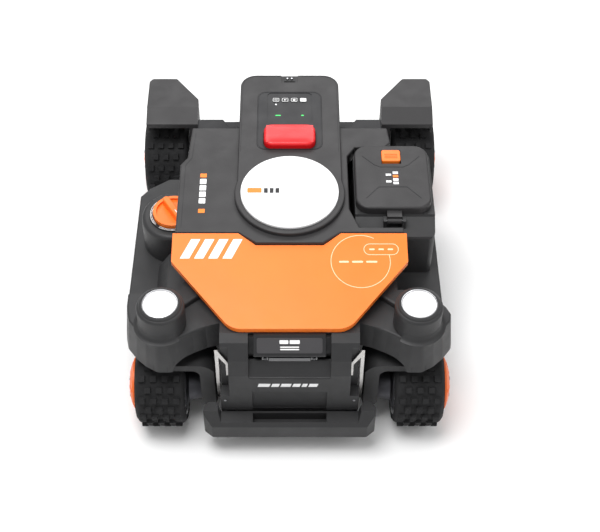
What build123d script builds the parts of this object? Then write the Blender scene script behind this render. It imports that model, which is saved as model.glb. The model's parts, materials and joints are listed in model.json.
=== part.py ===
"""Robotic lawn mower with four driven wheels, built as separate parts.

Millimetres. +Z is up, the machine drives towards -Y, and the origin is on the ground under its
middle. In part names, left is -X and right is +X.
"""

import os
from math import cos, pi, radians, sin

from build123d import *

os.makedirs("parts", exist_ok=True)

# ---- driving dimensions -------------------------------------------------------------------
FRONT_AXLE_Y = -262.0
REAR_AXLE_Y = 268.0
FRONT_RADIUS = 74.0
REAR_RADIUS = 85.0
FRONT_TRACK = 214.7  # from the centre plane to the middle of a front tyre
REAR_TRACK = 236.0
TREAD_WIDTH = 82.0
STEER_X = 203.0  # from the centre plane to a steering axis

SPINE_TOP = 300.0
SHOULDER_TOP = 292.0
SPINE_HALF = 89.0
SPINE_END = 265.0
SHOULDER_HALF = 188.0
COVER_FRONT = -114.0
COVER_BACK = 133.0
DISC_CENTRE = (0.0, -31.4)
DISC_RADIUS = 82.5

HOOD_SLOPE = 10.3
HOOD_THICK = 12.0
GUARD_TOP = 240.0
GUARD_BOTTOM = 167.0
TOWER_RADIUS = 38.0
TOWER_TOP = 288.0

PAN_BOTTOM = 45.0
PAN_TOP = 165.0
PAN_HALF = 240.0
CORE_HALF = 110.7  # half width of the body between the steered wheels
DIAL_CENTRE = (-200.0, -25.0)
TURRET_TOP = 238.0
LID_CENTRE_X = 174.5
LID_HINGE_Y = -81.0
LID_HINGE_Z = 283.0
CUT_Y = -5.0  # centre of the blade disc
STOP_Y = 98.0
KEY_Y = 197.0
KEY_PITCH = 16.3

RUNNING_FIT = 0.05  # radial clearance of a shaft in its bore
WALL = 4.0


# ---- helpers --------------------------------------------------------------------------------
def outline(points):
    """A closed polygon face."""
    with BuildSketch() as sketch:
        with BuildLine():
            Polyline(*points, close=True)
        make_face()
    return sketch.sketch


def mirrored(points):
    """Points of one half of an outline, followed by the other half in reverse order."""
    return points + [(-x, y) for x, y in reversed(points)]


def save(builder, name):
    builder.part.label = name
    export_step(builder.part, f"parts/{name}.step")


def save_pair(builder, name):
    """Writes a part made on the right side, and its mirror image on the left."""
    save(builder, f"{name}_right")
    with BuildPart() as twin:
        mirror(builder.part, about=Plane.YZ)
    save(twin, f"{name}_left")


# ---- wheels ---------------------------------------------------------------------------------
KNOB_HEIGHT = 6.0
KNOB_SIDE = 11.0
KNOB_ROWS = 24
KNOB_PITCH = 19.0
RIM_RADII = {"front": 54.0, "rear": 62.0}
SHAFT_RADIUS = 6.0
CAP_RADIUS = 44.0
CAP_OUT = {"front": 54.2, "rear": 48.2}  # how far a hub cap reaches beyond its tyre's middle
CAP_FLAT = 22.0  # radius of the cap's flat middle
CAP_WALL = 4.0


def make_tyre(outer, inner):
    """Tyre about the X axis, with alternating rows of three and four square knobs."""
    base = outer - KNOB_HEIGHT
    half = TREAD_WIDTH / 2
    with BuildPart() as tyre:
        with BuildSketch():
            with Locations((0, (base + inner) / 2)):
                Rectangle(TREAD_WIDTH, base - inner)
            fillet(vertices().group_by(Axis.Y)[-1], 9)
            with Locations((half, inner + 5), (-half, inner + 5)):
                Rectangle(5, 3, mode=Mode.SUBTRACT)
        revolve(axis=Axis.X)
        for row in range(KNOB_ROWS):
            turn = 2 * pi * row / KNOB_ROWS
            outward = Plane(origin=(0, 0, 0), x_dir=(1, 0, 0), z_dir=(0, sin(turn), cos(turn)))
            with BuildSketch(outward.offset(base - 1)):
                with GridLocations(KNOB_PITCH, 1, 4 - row % 2, 1):
                    Rectangle(KNOB_SIDE, KNOB_SIDE)
        extrude(amount=KNOB_HEIGHT + 0.7, taper=6)
    return tyre.part


def make_rim(radius):
    """Rim with an open inboard side, a web with lightening holes and a bored hub."""
    with BuildPart() as rim:
        with BuildSketch():
            with BuildLine():
                Polyline(
                    (-39, radius), (39, radius), (39, radius - 4), (22, radius - 4),
                    (22, SHAFT_RADIUS + RUNNING_FIT), (6, SHAFT_RADIUS + RUNNING_FIT), (6, 15),
                    (14, 18), (14, radius - 5), (-39, radius - 5), close=True,
                )
            make_face()
        revolve(axis=Axis.X)
        with Locations(Plane.YZ):
            with PolarLocations(radius * 0.6, 6):
                Cylinder(6.5, 60, mode=Mode.SUBTRACT)
    return rim.part


def make_cap(out):
    """Domed hub cap with a flat middle and a rim lip."""
    shoulder = out - 7.2
    with BuildPart() as cap:
        with BuildSketch():
            with BuildLine():
                Line((30, CAP_RADIUS), (shoulder, CAP_RADIUS))
                RadiusArc((shoulder, CAP_RADIUS), (out, CAP_FLAT), 60, short_sagitta=True)
                Line((out, CAP_FLAT), (out, 0))
                Line((out, 0), (out - CAP_WALL, 0))
                Line((out - CAP_WALL, 0), (out - CAP_WALL, CAP_FLAT - 2))
                Line((out - CAP_WALL, CAP_FLAT - 2), (38, CAP_RADIUS - 3))
                Line((38, CAP_RADIUS - 3), (30, CAP_RADIUS - 3))
                Line((30, CAP_RADIUS - 3), (30, CAP_RADIUS))
            make_face()
        revolve(axis=Axis.X)
    return cap.part


wheel_sets = {
    "front": (FRONT_RADIUS, FRONT_TRACK, FRONT_AXLE_Y),
    "rear": (REAR_RADIUS, REAR_TRACK, REAR_AXLE_Y),
}
for end, (radius, track, axle_y) in wheel_sets.items():
    pieces = {
        "tyre": make_tyre(radius, RIM_RADII[end]),
        "rim": make_rim(RIM_RADII[end]),
        "hub_cap": make_cap(CAP_OUT[end]),
    }
    for piece, shape in pieces.items():
        with BuildPart() as placed:
            with Locations((track, axle_y, radius)):
                add(shape)
        save_pair(placed, f"{end}_{piece}")

# ---- steering knuckles with their hub motors -------------------------------------------------
LEG_IN = 121.0
LEG_OUT = 147.5
KNUCKLE_TOP = 165.0
KNUCKLE_BOTTOM = 151.0
SWEEP = 85.0  # the knuckle stays inside this radius about its steering axis
STEER_SHAFT = 12.0

with BuildPart() as knuckle:
    with BuildSketch(Plane.XZ.offset(-FRONT_AXLE_Y)):
        with BuildLine():
            Polyline(
                (STEER_X, KNUCKLE_TOP), (LEG_IN, KNUCKLE_TOP), (LEG_IN, 54), (LEG_OUT, 54),
                (LEG_OUT, KNUCKLE_BOTTOM), (STEER_X, KNUCKLE_BOTTOM), close=True,
            )
        make_face()
        fillet(vertices().sort_by_distance((LEG_IN, KNUCKLE_TOP))[0], 30)
        fillet(vertices().sort_by_distance((LEG_OUT, KNUCKLE_BOTTOM))[0], 14)
        fillet(vertices().group_by(Axis.Y)[0], 9)
    extrude(amount=31, both=True)
    with BuildSketch(Plane.XY.offset(KNUCKLE_BOTTOM)):
        with Locations((STEER_X, FRONT_AXLE_Y)):
            Circle(32)
    extrude(amount=198 - KNUCKLE_BOTTOM)
    with BuildSketch(Plane.XY.offset(198)):
        with Locations((STEER_X, FRONT_AXLE_Y)):
            Circle(STEER_SHAFT)
    extrude(amount=28)
    with BuildSketch(Plane.XY.offset(50)):
        with Locations((STEER_X, FRONT_AXLE_Y)):
            Circle(SWEEP)
    extrude(amount=180, mode=Mode.INTERSECT)
save_pair(knuckle, "steering_knuckle")

with BuildPart() as hub_motor:
    with BuildSketch():
        with BuildLine():
            Polyline(
                (LEG_OUT - FRONT_TRACK, 0), (LEG_OUT - FRONT_TRACK, 26), (-46, 30), (-42, 42),
                (-4, 42), (0, 38), (0, SHAFT_RADIUS), (27, SHAFT_RADIUS), (27, 0), close=True,
            )
        make_face()
    revolve(axis=Axis.X)
with BuildPart() as front_hub_motor:
    with Locations((FRONT_TRACK, FRONT_AXLE_Y, FRONT_RADIUS)):
        add(hub_motor.part)
save_pair(front_hub_motor, "front_hub_motor")

# ---- front arms: wheel guard, steering tower and the diagonal arm to the body ----------------
NOSE_SIDE = 111.0
GUARD_DRAFT = 6.0
ARM_HEADING = 140.0  # degrees from +X, towards the rear and the middle
ARM_BACK = 60.0  # behind the front axle
ARCH_TOP = 190.0
guard_front = [
    (257, 6), (243, -13), (228, -27), (211, -37), (193, -37), (178, -30), (156, -17),
    (135, -7), (NOSE_SIDE - 8, 3), (NOSE_SIDE - 8, ARM_BACK + 8),
]
guard_corners = {
    "left": [(262.5, ARM_BACK + 8), (262.5, 36), (261, 24)],
    "right": [(238, ARM_BACK + 8), (242, 46), (252, 34), (259, 20)],
}


def guard_body(points, top, wall):
    """The guard's outer shape, or its hollow when a wall thickness is taken off."""
    with BuildPart() as body:
        with BuildSketch(Plane.XY.offset(top)):
            add(outline([(x, y + FRONT_AXLE_Y) for x, y in points]))
            front = vertices().filter_by(lambda v: v.X > 170 and v.Y < FRONT_AXLE_Y + 40)
            fillet(front, 9)
            if wall:
                offset(amount=-wall, mode=Mode.REPLACE)
        extrude(amount=GUARD_BOTTOM - top, taper=-GUARD_DRAFT)
    return body.part


def front_arm(side):
    """The right-hand arm, with the guard corner of the given side."""
    points = guard_corners[side] + guard_front
    axis_spot = (STEER_X, FRONT_AXLE_Y)
    with BuildPart() as arm:
        add(guard_body(points, GUARD_TOP, 0))
        fillet(edges().group_by(Axis.Z)[-1].filter_by(lambda e: e.center().X > 125), 3.5)
        add(guard_body(points, GUARD_TOP - WALL, WALL), mode=Mode.SUBTRACT)
        # arch over the knuckle's arm, open to the rear
        with BuildSketch(Plane.XZ.offset(360)):
            with Locations((130, ARCH_TOP - 30)):
                Rectangle(66, 60)
            with Locations((163, ARCH_TOP - 26)):
                Circle(26)
        extrude(amount=-110, mode=Mode.SUBTRACT)
        with Locations((190, FRONT_AXLE_Y + ARM_BACK, ARCH_TOP - 20)):
            Box(130, 40, 40, mode=Mode.SUBTRACT)
        # diagonal arm
        heading = radians(ARM_HEADING)
        arm_plane = Plane(
            origin=(STEER_X, FRONT_AXLE_Y + 28, 206), x_dir=(cos(heading), sin(heading), 0)
        )
        with BuildSketch(arm_plane):
            with Locations((64, 0)):
                Rectangle(128, 41)
        extrude(amount=44)
        fillet(edges().filter_by(lambda e: abs(e.center().Z - 250) < 0.1 and e.length > 60), 4)
        # tower with a bearing web below and a seat for the cap above
        with BuildSketch(Plane.XY.offset(200)):
            with Locations(axis_spot):
                Circle(TOWER_RADIUS)
        extrude(amount=TOWER_TOP - 200)
        fillet(edges().group_by(Axis.Z)[-1], 6)
        for bottom, height, radius in [
            (200, 8, STEER_SHAFT + RUNNING_FIT), (208, 20, 27), (228, 80, 30.2)
        ]:
            with BuildSketch(Plane.XY.offset(bottom)):
                with Locations(axis_spot):
                    Circle(radius)
            extrude(amount=height, mode=Mode.SUBTRACT)
        # stays clear of the nose and of the side panels
        with Locations((0, FRONT_AXLE_Y, 200)):
            Box(2 * NOSE_SIDE + 0.2, 400, 200, mode=Mode.SUBTRACT)
        with Locations((190, FRONT_AXLE_Y + ARM_BACK + 50, 175)):
            Box(200, 100, 60, mode=Mode.SUBTRACT)
        with Locations((230, FRONT_AXLE_Y + ARM_BACK + 50, 205)):
            Box(110, 100, 120, mode=Mode.SUBTRACT)
        # moulding hole beside the tower
        with BuildSketch(Plane.XY.offset(GUARD_TOP - WALL)):
            with Locations((STEER_X + 42, FRONT_AXLE_Y + 38)):
                Circle(2.6)
        extrude(amount=WALL, mode=Mode.SUBTRACT)
    return arm.part


with BuildPart() as front_arm_right:
    add(front_arm("right"))
save(front_arm_right, "front_arm_right")
with BuildPart() as front_arm_left:
    mirror(front_arm("left"), about=Plane.YZ)
save(front_arm_left, "front_arm_left")

CAP_TOP = 292.0
CAP_DOME = 114.0  # radius of the cap's domed top
with BuildPart() as tower_caps:
    with BuildSketch(Plane.XY.offset(TOWER_TOP - 9)):
        with Locations((STEER_X, FRONT_AXLE_Y)):
            Circle(30)
    extrude(amount=CAP_TOP - TOWER_TOP + 9)
    with Locations((STEER_X, FRONT_AXLE_Y, CAP_TOP - CAP_DOME)):
        Sphere(CAP_DOME, mode=Mode.INTERSECT)
    mirror(about=Plane.YZ)
save(tower_caps, "tower_caps")

with BuildPart() as steering_motor:
    with BuildSketch(Plane.XY.offset(228.2)):
        with Locations((STEER_X, FRONT_AXLE_Y)):
            Circle(30)
    extrude(amount=48)
    fillet(edges().group_by(Axis.Z)[-1], 3)
save_pair(steering_motor, "steering_motor")

# ---- chassis tub -----------------------------------------------------------------------------
DECK_RADIUS = 135.0
DECK_ROOF = 121.0
CARRIER_HOLE = 40.0
POST_X = 54.0
GEARMOTOR_IN = 110.0
PAN_BACK = 330.0
CORE_LEFT = -140.0
CORE_RIGHT = 96.0
CORE_FRONT = -109.5
CORE_BACK = 128.5
CORE_TOP = 285.5
BRIDGE_TOP = 250.0
pan_points = mirrored([
    (CORE_HALF, -245), (CORE_HALF, -162), (PAN_HALF, -162), (PAN_HALF, 104), (222, 121),
    (184, 121), (184, PAN_BACK),
])
core_points = [
    (CORE_LEFT, CORE_FRONT), (CORE_RIGHT, CORE_FRONT), (CORE_RIGHT, CORE_BACK),
    (CORE_LEFT, CORE_BACK),
]
bridge_points = mirrored([(168, CORE_BACK), (168, 201), (122, 201), (110, 183), (86, 183)])


def pan_body(inset):
    """The low wide pan with its rear slope, or its hollow when inset by a wall thickness."""
    with BuildPart() as pan:
        with BuildSketch(Plane.XY.offset(PAN_BOTTOM + inset)):
            add(outline(pan_points))
            if inset:
                offset(amount=-inset, mode=Mode.REPLACE)
        extrude(amount=PAN_TOP - PAN_BOTTOM - 2 * inset)
        with BuildSketch(Plane.YZ):
            Polygon((284 - inset, PAN_TOP + 5), (284 - inset, PAN_TOP - inset),
                    (PAN_BACK - inset, PAN_TOP - 48 - inset), (PAN_BACK + 20, PAN_TOP - 48 - inset),
                    (PAN_BACK + 20, PAN_TOP + 5), align=None)
        extrude(amount=300, both=True, mode=Mode.SUBTRACT)
    return pan.part


with BuildPart() as chassis_tub:
    add(pan_body(0))
    fillet(edges().group_by(Axis.Z)[0], 4)
    # body core under the hood and the cover
    with BuildSketch(Plane.XY.offset(PAN_TOP)):
        Polygon((-CORE_HALF, -245), (CORE_HALF, -245), (CORE_HALF, CORE_FRONT),
                (-CORE_HALF, CORE_FRONT), align=None)
    extrude(amount=75)
    with BuildSketch(Plane.XY.offset(PAN_TOP)):
        add(outline(core_points))
    extrude(amount=CORE_TOP - PAN_TOP)
    with BuildSketch(Plane.XY.offset(PAN_TOP)):
        add(outline(bridge_points))
    extrude(amount=BRIDGE_TOP - PAN_TOP)
    fillet(edges().filter_by(Plane.XY).filter_by(
        lambda e: abs(e.center().Z - BRIDGE_TOP) < 0.1 and e.center().Y > CORE_BACK + 1), 3)
    with BuildSketch(Plane.XY.offset(PAN_TOP - 20)):
        with Locations((0, 195)):
            Rectangle(2 * (SPINE_HALF - 5), 132)
        fillet(vertices().group_by(Axis.Y)[-1], 24)
    extrude(amount=CORE_TOP - PAN_TOP + 20)
    # hollows of the pan, the core and the bridge
    add(pan_body(WALL), mode=Mode.SUBTRACT)
    with BuildSketch(Plane.XY.offset(PAN_TOP - WALL - 1)):
        with Locations((0, -177)):
            Rectangle(2 * (CORE_HALF - WALL), 128)
    extrude(amount=76, mode=Mode.SUBTRACT)
    with BuildSketch(Plane.XY.offset(PAN_TOP - WALL - 1)):
        add(outline(core_points))
        offset(amount=-WALL, mode=Mode.REPLACE)
    extrude(amount=130, mode=Mode.SUBTRACT)
    with BuildSketch(Plane.XY.offset(PAN_TOP - WALL - 1)):
        with Locations((0, 186)):
            Rectangle(2 * (SPINE_HALF - 5 - WALL), 132)
    extrude(amount=130, mode=Mode.SUBTRACT)
    with BuildSketch(Plane.XY.offset(PAN_TOP - WALL - 1)):
        with Locations((0, 150)):
            Rectangle(320, 60)
    extrude(amount=BRIDGE_TOP - PAN_TOP + 1, mode=Mode.SUBTRACT)
    # cutting deck
    with BuildSketch(Plane.XY.offset(PAN_BOTTOM)):
        with Locations((0, CUT_Y)):
            Circle(DECK_RADIUS)
    extrude(amount=WALL, mode=Mode.SUBTRACT)
    with BuildSketch(Plane.XY.offset(PAN_BOTTOM)):
        with Locations((0, CUT_Y)):
            Circle(DECK_RADIUS + WALL)
            Circle(DECK_RADIUS, mode=Mode.SUBTRACT)
    extrude(amount=DECK_ROOF - PAN_BOTTOM)
    with BuildSketch(Plane.XY.offset(DECK_ROOF)):
        with Locations((0, CUT_Y)):
            Circle(DECK_RADIUS + WALL)
            Circle(CARRIER_HOLE, mode=Mode.SUBTRACT)
    extrude(amount=WALL)
    # guide posts of the cutter lift
    with BuildSketch(Plane.XY.offset(DECK_ROOF + WALL)):
        with Locations((POST_X, CUT_Y), (-POST_X, CUT_Y)):
            Circle(5)
    extrude(amount=70)
    # openings for the rear drive shafts
    with BuildSketch(Plane.YZ):
        with Locations((REAR_AXLE_Y, REAR_RADIUS)):
            Circle(14)
    extrude(amount=260, both=True, mode=Mode.SUBTRACT)
save(chassis_tub, "chassis_tub")

BELLY_Y = 232.0
BELLY_HOLES = (220.0, 110.0)
PLATE_BOTTOM = PAN_BOTTOM - 4.0
SCREW_HEAD = 5.2
HEAD_HEIGHT = 1.6
with BuildPart() as belly_plate:
    with BuildSketch(Plane.XY.offset(PLATE_BOTTOM)):
        with Locations((0, BELLY_Y)):
            RectangleRounded(250, 140, 14)
            with GridLocations(*BELLY_HOLES, 2, 2):
                Circle(3.2, mode=Mode.SUBTRACT)
    extrude(amount=4)
    fillet(edges().filter_by(Plane.XY).group_by(Axis.Z)[0].sort_by(SortBy.LENGTH)[-4:], 1.5)
    with BuildSketch(Plane.XY.offset(PLATE_BOTTOM)):
        with Locations((0, BELLY_Y)):
            with GridLocations(*BELLY_HOLES, 2, 2):
                Circle(SCREW_HEAD + 0.2)
    extrude(amount=HEAD_HEIGHT, mode=Mode.SUBTRACT)
save(belly_plate, "belly_plate")

with BuildPart() as belly_screws:
    with BuildSketch(Plane.XY.offset(PLATE_BOTTOM + HEAD_HEIGHT)):
        with Locations((0, BELLY_Y)):
            with GridLocations(*BELLY_HOLES, 2, 2):
                Circle(3.0)
    extrude(amount=PAN_BOTTOM - PLATE_BOTTOM - HEAD_HEIGHT)
    with BuildSketch(Plane.XY.offset(PLATE_BOTTOM)):
        with Locations((0, BELLY_Y)):
            with GridLocations(*BELLY_HOLES, 2, 2):
                Circle(SCREW_HEAD)
                RegularPolygon(2.2, 6, mode=Mode.SUBTRACT)
    extrude(amount=HEAD_HEIGHT)
save(belly_screws, "belly_screws")

# ---- rear drive ------------------------------------------------------------------------------
with BuildPart() as gearmotor:
    with BuildSketch():
        with BuildLine():
            Polyline(
                (GEARMOTOR_IN - REAR_TRACK, 0), (GEARMOTOR_IN - REAR_TRACK, 30), (-57, 30),
                (-57, 13), (-30, 13), (-30, SHAFT_RADIUS), (27, SHAFT_RADIUS), (27, 0), close=True,
            )
        make_face()
    revolve(axis=Axis.X)
with BuildPart() as rear_gearmotor:
    with Locations((REAR_TRACK, REAR_AXLE_Y, REAR_RADIUS)):
        add(gearmotor.part)
save_pair(rear_gearmotor, "rear_gearmotor")

# ---- side panels -----------------------------------------------------------------------------
PANEL_TOP = 172.0
SKIRT_BOTTOM = 104.0


def side_panel(outer, back_y, inner):
    """Plate on the pan's top with a skirt outside the pan, on the right side."""
    front = FRONT_AXLE_Y + ARM_BACK + 0.4
    back = [(outer - 2, back_y), (outer - 18, back_y + 20), (224, 121.5)]
    plate = [(inner, front), (outer - 8, front), (outer, front + 12)] + back + [(inner, 121.5)]
    gap = PAN_HALF + 0.3
    skirt = [(gap, -162), (outer, -162)] + back[:2] + [(gap, 107)]
    with BuildPart() as panel:
        with BuildSketch(Plane.XY.offset(PAN_TOP)):
            add(outline(plate))
        extrude(amount=PANEL_TOP - PAN_TOP)
        with BuildSketch(Plane.XY.offset(SKIRT_BOTTOM)):
            add(outline(skirt))
        extrude(amount=PANEL_TOP - SKIRT_BOTTOM)
        fillet(edges().group_by(Axis.Z)[-1].filter_by(lambda e: e.center().X > 226), 3)
    return panel.part


with BuildPart() as side_pod:
    mirror(side_panel(273, 80, -CORE_LEFT + 0.5), about=Plane.YZ)
    # sloping shoulder between the pod and the hood
    with BuildSketch(Plane.XZ.offset(201)):
        Polygon((-226, PANEL_TOP), (-205, 204), (-172, 204), (-172, PANEL_TOP), align=None)
    extrude(amount=-115)
    with BuildSketch(Plane.XY.offset(PANEL_TOP)):
        with Locations(DIAL_CENTRE):
            Circle(55)
    extrude(amount=TURRET_TOP - PANEL_TOP)
    fillet(edges().group_by(Axis.Z)[-1], 8)
    with BuildSketch(Plane.XY.offset(PANEL_TOP)):
        with Locations(DIAL_CENTRE):
            Circle(50)
    extrude(amount=TURRET_TOP - PANEL_TOP - 6, mode=Mode.SUBTRACT)
    with BuildSketch(Plane.XY.offset(TURRET_TOP)):
        with Locations(DIAL_CENTRE):
            Circle(8 + RUNNING_FIT)
    extrude(amount=-10, mode=Mode.SUBTRACT)
save(side_pod, "side_pod_left")

with BuildPart() as side_rail:
    add(side_panel(258, 108, CORE_HALF + 0.4))
save(side_rail, "side_panel_right")

with BuildPart() as dial_ring:
    with BuildSketch(Plane.XY.offset(TURRET_TOP)):
        with Locations(DIAL_CENTRE):
            Circle(41)
            Circle(35.5, mode=Mode.SUBTRACT)
    extrude(amount=2.5)
    chamfer(edges().group_by(Axis.Z)[-1], 0.6)
save(dial_ring, "dial_ring")

with BuildPart() as height_dial:
    with BuildSketch(Plane.XY.offset(TURRET_TOP + 0.6)):
        with Locations(DIAL_CENTRE):
            Circle(34.5)
    extrude(amount=9)
    with BuildSketch(Plane.XY.offset(TURRET_TOP + 5)):
        with Locations(DIAL_CENTRE):
            Circle(29)
    extrude(amount=5, mode=Mode.SUBTRACT)
    grip = Plane(origin=(*DIAL_CENTRE, TURRET_TOP + 5), x_dir=(cos(radians(-58)), sin(radians(-58)), 0))
    with BuildSketch(grip):
        SlotOverall(60, 13)
    extrude(amount=14, taper=4)
    fillet(edges().group_by(Axis.Z)[-1], 2)
    with BuildSketch(Plane.XY.offset(TURRET_TOP - 9)):
        with Locations(DIAL_CENTRE):
            Circle(8)
    extrude(amount=11)
save(height_dial, "height_dial")

# ---- front nose ------------------------------------------------------------------------------
NOSE_FRONT = -326.0
NOSE_HALF = 119.0
NOSE_BLOCK = 113.0
POCKET_IN = 98.0
RECESS_HALF = 66.0
BUMPER_TOP = 84.0
PEG_X = 90.0
PEG_Z = 70.0
PEG_RADIUS = 5.0
nose_profile = [
    (-245.3, 246), (-286, 246), (-300, 238), (-317, 212), (NOSE_FRONT, 184), (NOSE_FRONT, 88),
    (-318, 88), (-318, 62), (-245.3, 62),
]
with BuildPart() as front_nose:
    with BuildSketch(Plane.YZ):
        add(outline(nose_profile))
        fillet(vertices().filter_by(lambda v: v.Z > 150 and v.Y < -284), 9)
    extrude(amount=NOSE_HALF, both=True)
    with BuildSketch(Plane.YZ):
        Polygon((-245.3, 241), (-284, 241), (-304, 208), (-316, 180), (-316, 92), (-313, 84),
                (-313, 67), (-245.3, 67), align=None)
    extrude(amount=POCKET_IN - 4, both=True, mode=Mode.SUBTRACT)
    for side in (1, -1):
        # the side steps in behind the front corner, clear of the steered wheel
        with Locations((side * (NOSE_SIDE + 20), -270, 150)):
            Box(40, 68, 220, mode=Mode.SUBTRACT)
        with Locations((side * (NOSE_BLOCK + 20), -330, 150)):
            Box(40, 80, 220, mode=Mode.SUBTRACT)
        # pocket behind the charging contact
        with Locations((side * (POCKET_IN + 20), -325, 182)):
            Box(40, 42, 108, mode=Mode.SUBTRACT)
    # camera recess with its sloping lower lip, and the lower recess
    with BuildSketch(Plane.YZ):
        Polygon((-284, 260), (-340, 260), (-340, 178), (-325, 181), (-309, 204), (-284, 204),
                align=None)
    extrude(amount=RECESS_HALF, both=True, mode=Mode.SUBTRACT)
    with Locations((0, NOSE_FRONT - 2, 114)):
        Box(122, 12, 52, mode=Mode.SUBTRACT)
    with BuildSketch(Plane.XZ.offset(-NOSE_FRONT + 2)):
        with Locations((PEG_X, PEG_Z), (-PEG_X, PEG_Z)):
            Circle(PEG_RADIUS + RUNNING_FIT)
    extrude(amount=-60, mode=Mode.SUBTRACT)
save(front_nose, "front_nose")

with BuildPart() as camera_housing:
    with BuildSketch(Plane.YZ):
        Polygon((-284.2, 246), (-290, 246), (-313, 222), (-313, 219), (-301, 213), (-301, 204.2),
                (-284.2, 204.2), align=None)
    extrude(amount=57, both=True)
    with BuildSketch(Plane.YZ):
        Polygon((-284.2, 240), (-290, 240), (-301, 213), (-301, 204.2), (-284.2, 204.2), align=None)
    extrude(amount=RECESS_HALF - 0.3, both=True)
save(camera_housing, "camera_housing")

with BuildPart() as camera_window:
    with Locations((0, -306, 208.5)):
        Box(66, 9.6, 8)
    with Locations((39, -305, 208), (-39, -305, 208)):
        Box(10, 7.6, 7)
save(camera_window, "camera_window")

contact_outline = [
    (NOSE_HALF, 228), (NOSE_HALF, 99), (115, 99), (113.3, 180), (113.3, 211), (102.5, 192),
    (102.5, 162), (99, 162), (99, 196), (114, 228),
]
with BuildPart() as charging_contacts:
    with BuildSketch(Plane.XZ.offset(306.5)):
        add(outline(contact_outline))
    extrude(amount=2)
    mirror(about=Plane.YZ)
save(charging_contacts, "charging_contacts")

BUMPER_FRONT = -353.0
BUMPER_BACK = -326.4
BUMPER_HALF = 142.0
BUMPER_BOTTOM = 43.0
EAR_TOP = 102.0
with BuildPart() as bumper_half:
    with BuildSketch(Plane.XY.offset(BUMPER_BOTTOM)):
        add(outline([
            (0, BUMPER_FRONT), (128, BUMPER_FRONT), (BUMPER_HALF, -341), (BUMPER_HALF, -330),
            (134, -320), (NOSE_HALF + 1, -320), (NOSE_HALF + 1, BUMPER_BACK), (0, BUMPER_BACK),
        ]))
    extrude(amount=EAR_TOP - BUMPER_BOTTOM)
    # sloping front of the ear
    with BuildSketch(Plane.YZ):
        Polygon((-360, 76), (BUMPER_FRONT, 76), (-338, EAR_TOP), (-338, 120), (-360, 120), align=None)
    extrude(amount=200, mode=Mode.SUBTRACT)
    # lower middle
    with Locations((50, -340, BUMPER_TOP + 15)):
        Box(108, 60, 30, mode=Mode.SUBTRACT)
    with BuildSketch(Plane.XZ.offset(-BUMPER_BACK)):
        Polygon((104, BUMPER_TOP), (104, 130), (114, 130), (118, EAR_TOP),
                (NOSE_BLOCK + 0.6, BUMPER_TOP), align=None)
    extrude(amount=30, mode=Mode.SUBTRACT)
    with Locations((30, -339, 78)):
        Box(62, 18, 26, mode=Mode.SUBTRACT)
    with BuildSketch(Plane.XZ.offset(330)):
        with Locations((PEG_X, PEG_Z)):
            Circle(PEG_RADIUS)
    extrude(amount=-34)
with BuildPart() as bumper:
    add(bumper_half.part)
    mirror(bumper_half.part, about=Plane.YZ)
    fillet(edges().filter_by(Axis.Z).filter_by(
        lambda e: e.center().Y < -318 and abs(e.center().X) > 120), 5)
    fillet(edges().group_by(Axis.Z)[0].group_by(Axis.Y)[0], 4)
save(bumper, "bumper")

# ---- hood ------------------------------------------------------------------------------------
BAY_IN = 110.0
BAY_OUT = 243.0
shoulder_points = [
    (-SHOULDER_HALF, COVER_FRONT), (-84, COVER_FRONT), (-55, COVER_FRONT - 22.5),
    (55, COVER_FRONT - 22.5), (84, COVER_FRONT), (SHOULDER_HALF, COVER_FRONT),
    (SHOULDER_HALF, COVER_FRONT + 11), (115, COVER_FRONT + 11), (100, -62), (100, 62),
    (114, 84), (166, 84), (176, 96), (172, COVER_BACK), (-172, COVER_BACK), (-176.6, 59.5),
    (-SHOULDER_HALF, 42),
]
hood_plane = Plane(
    origin=(0, COVER_FRONT, 290),
    x_dir=(1, 0, 0),
    z_dir=(0, -sin(radians(HOOD_SLOPE)), cos(radians(HOOD_SLOPE))),
)
hood_points = mirrored([(192, -0.8), (192, -54), (93, -176)])
with BuildPart() as hood:
    with BuildSketch(hood_plane):
        add(outline(hood_points))
        fillet(vertices().group_by(Axis.Y)[0], 36)
        fillet(vertices().filter_by(lambda v: abs(v.X) > 190 and v.Y < COVER_FRONT - 40), 14)
    extrude(amount=-HOOD_THICK)
    with BuildSketch(Plane.XY.offset(200)):
        add(outline(shoulder_points))
        offset(amount=0.8, mode=Mode.REPLACE)
    extrude(amount=120, mode=Mode.SUBTRACT)
    fillet(edges().filter_by(lambda e: e.center().Y < COVER_FRONT - 30).group_by(Axis.Z)[-1], 1)
save(hood, "orange_hood")

# ---- top cover -------------------------------------------------------------------------------
PANEL_Y = 144.5
PANEL_LENGTH = 149.0
PANEL_HALF = 57.0
PANEL_FLOOR = 293.5
STOP_HALF = 45.0
STOP_DEPTH = 51.0

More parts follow.
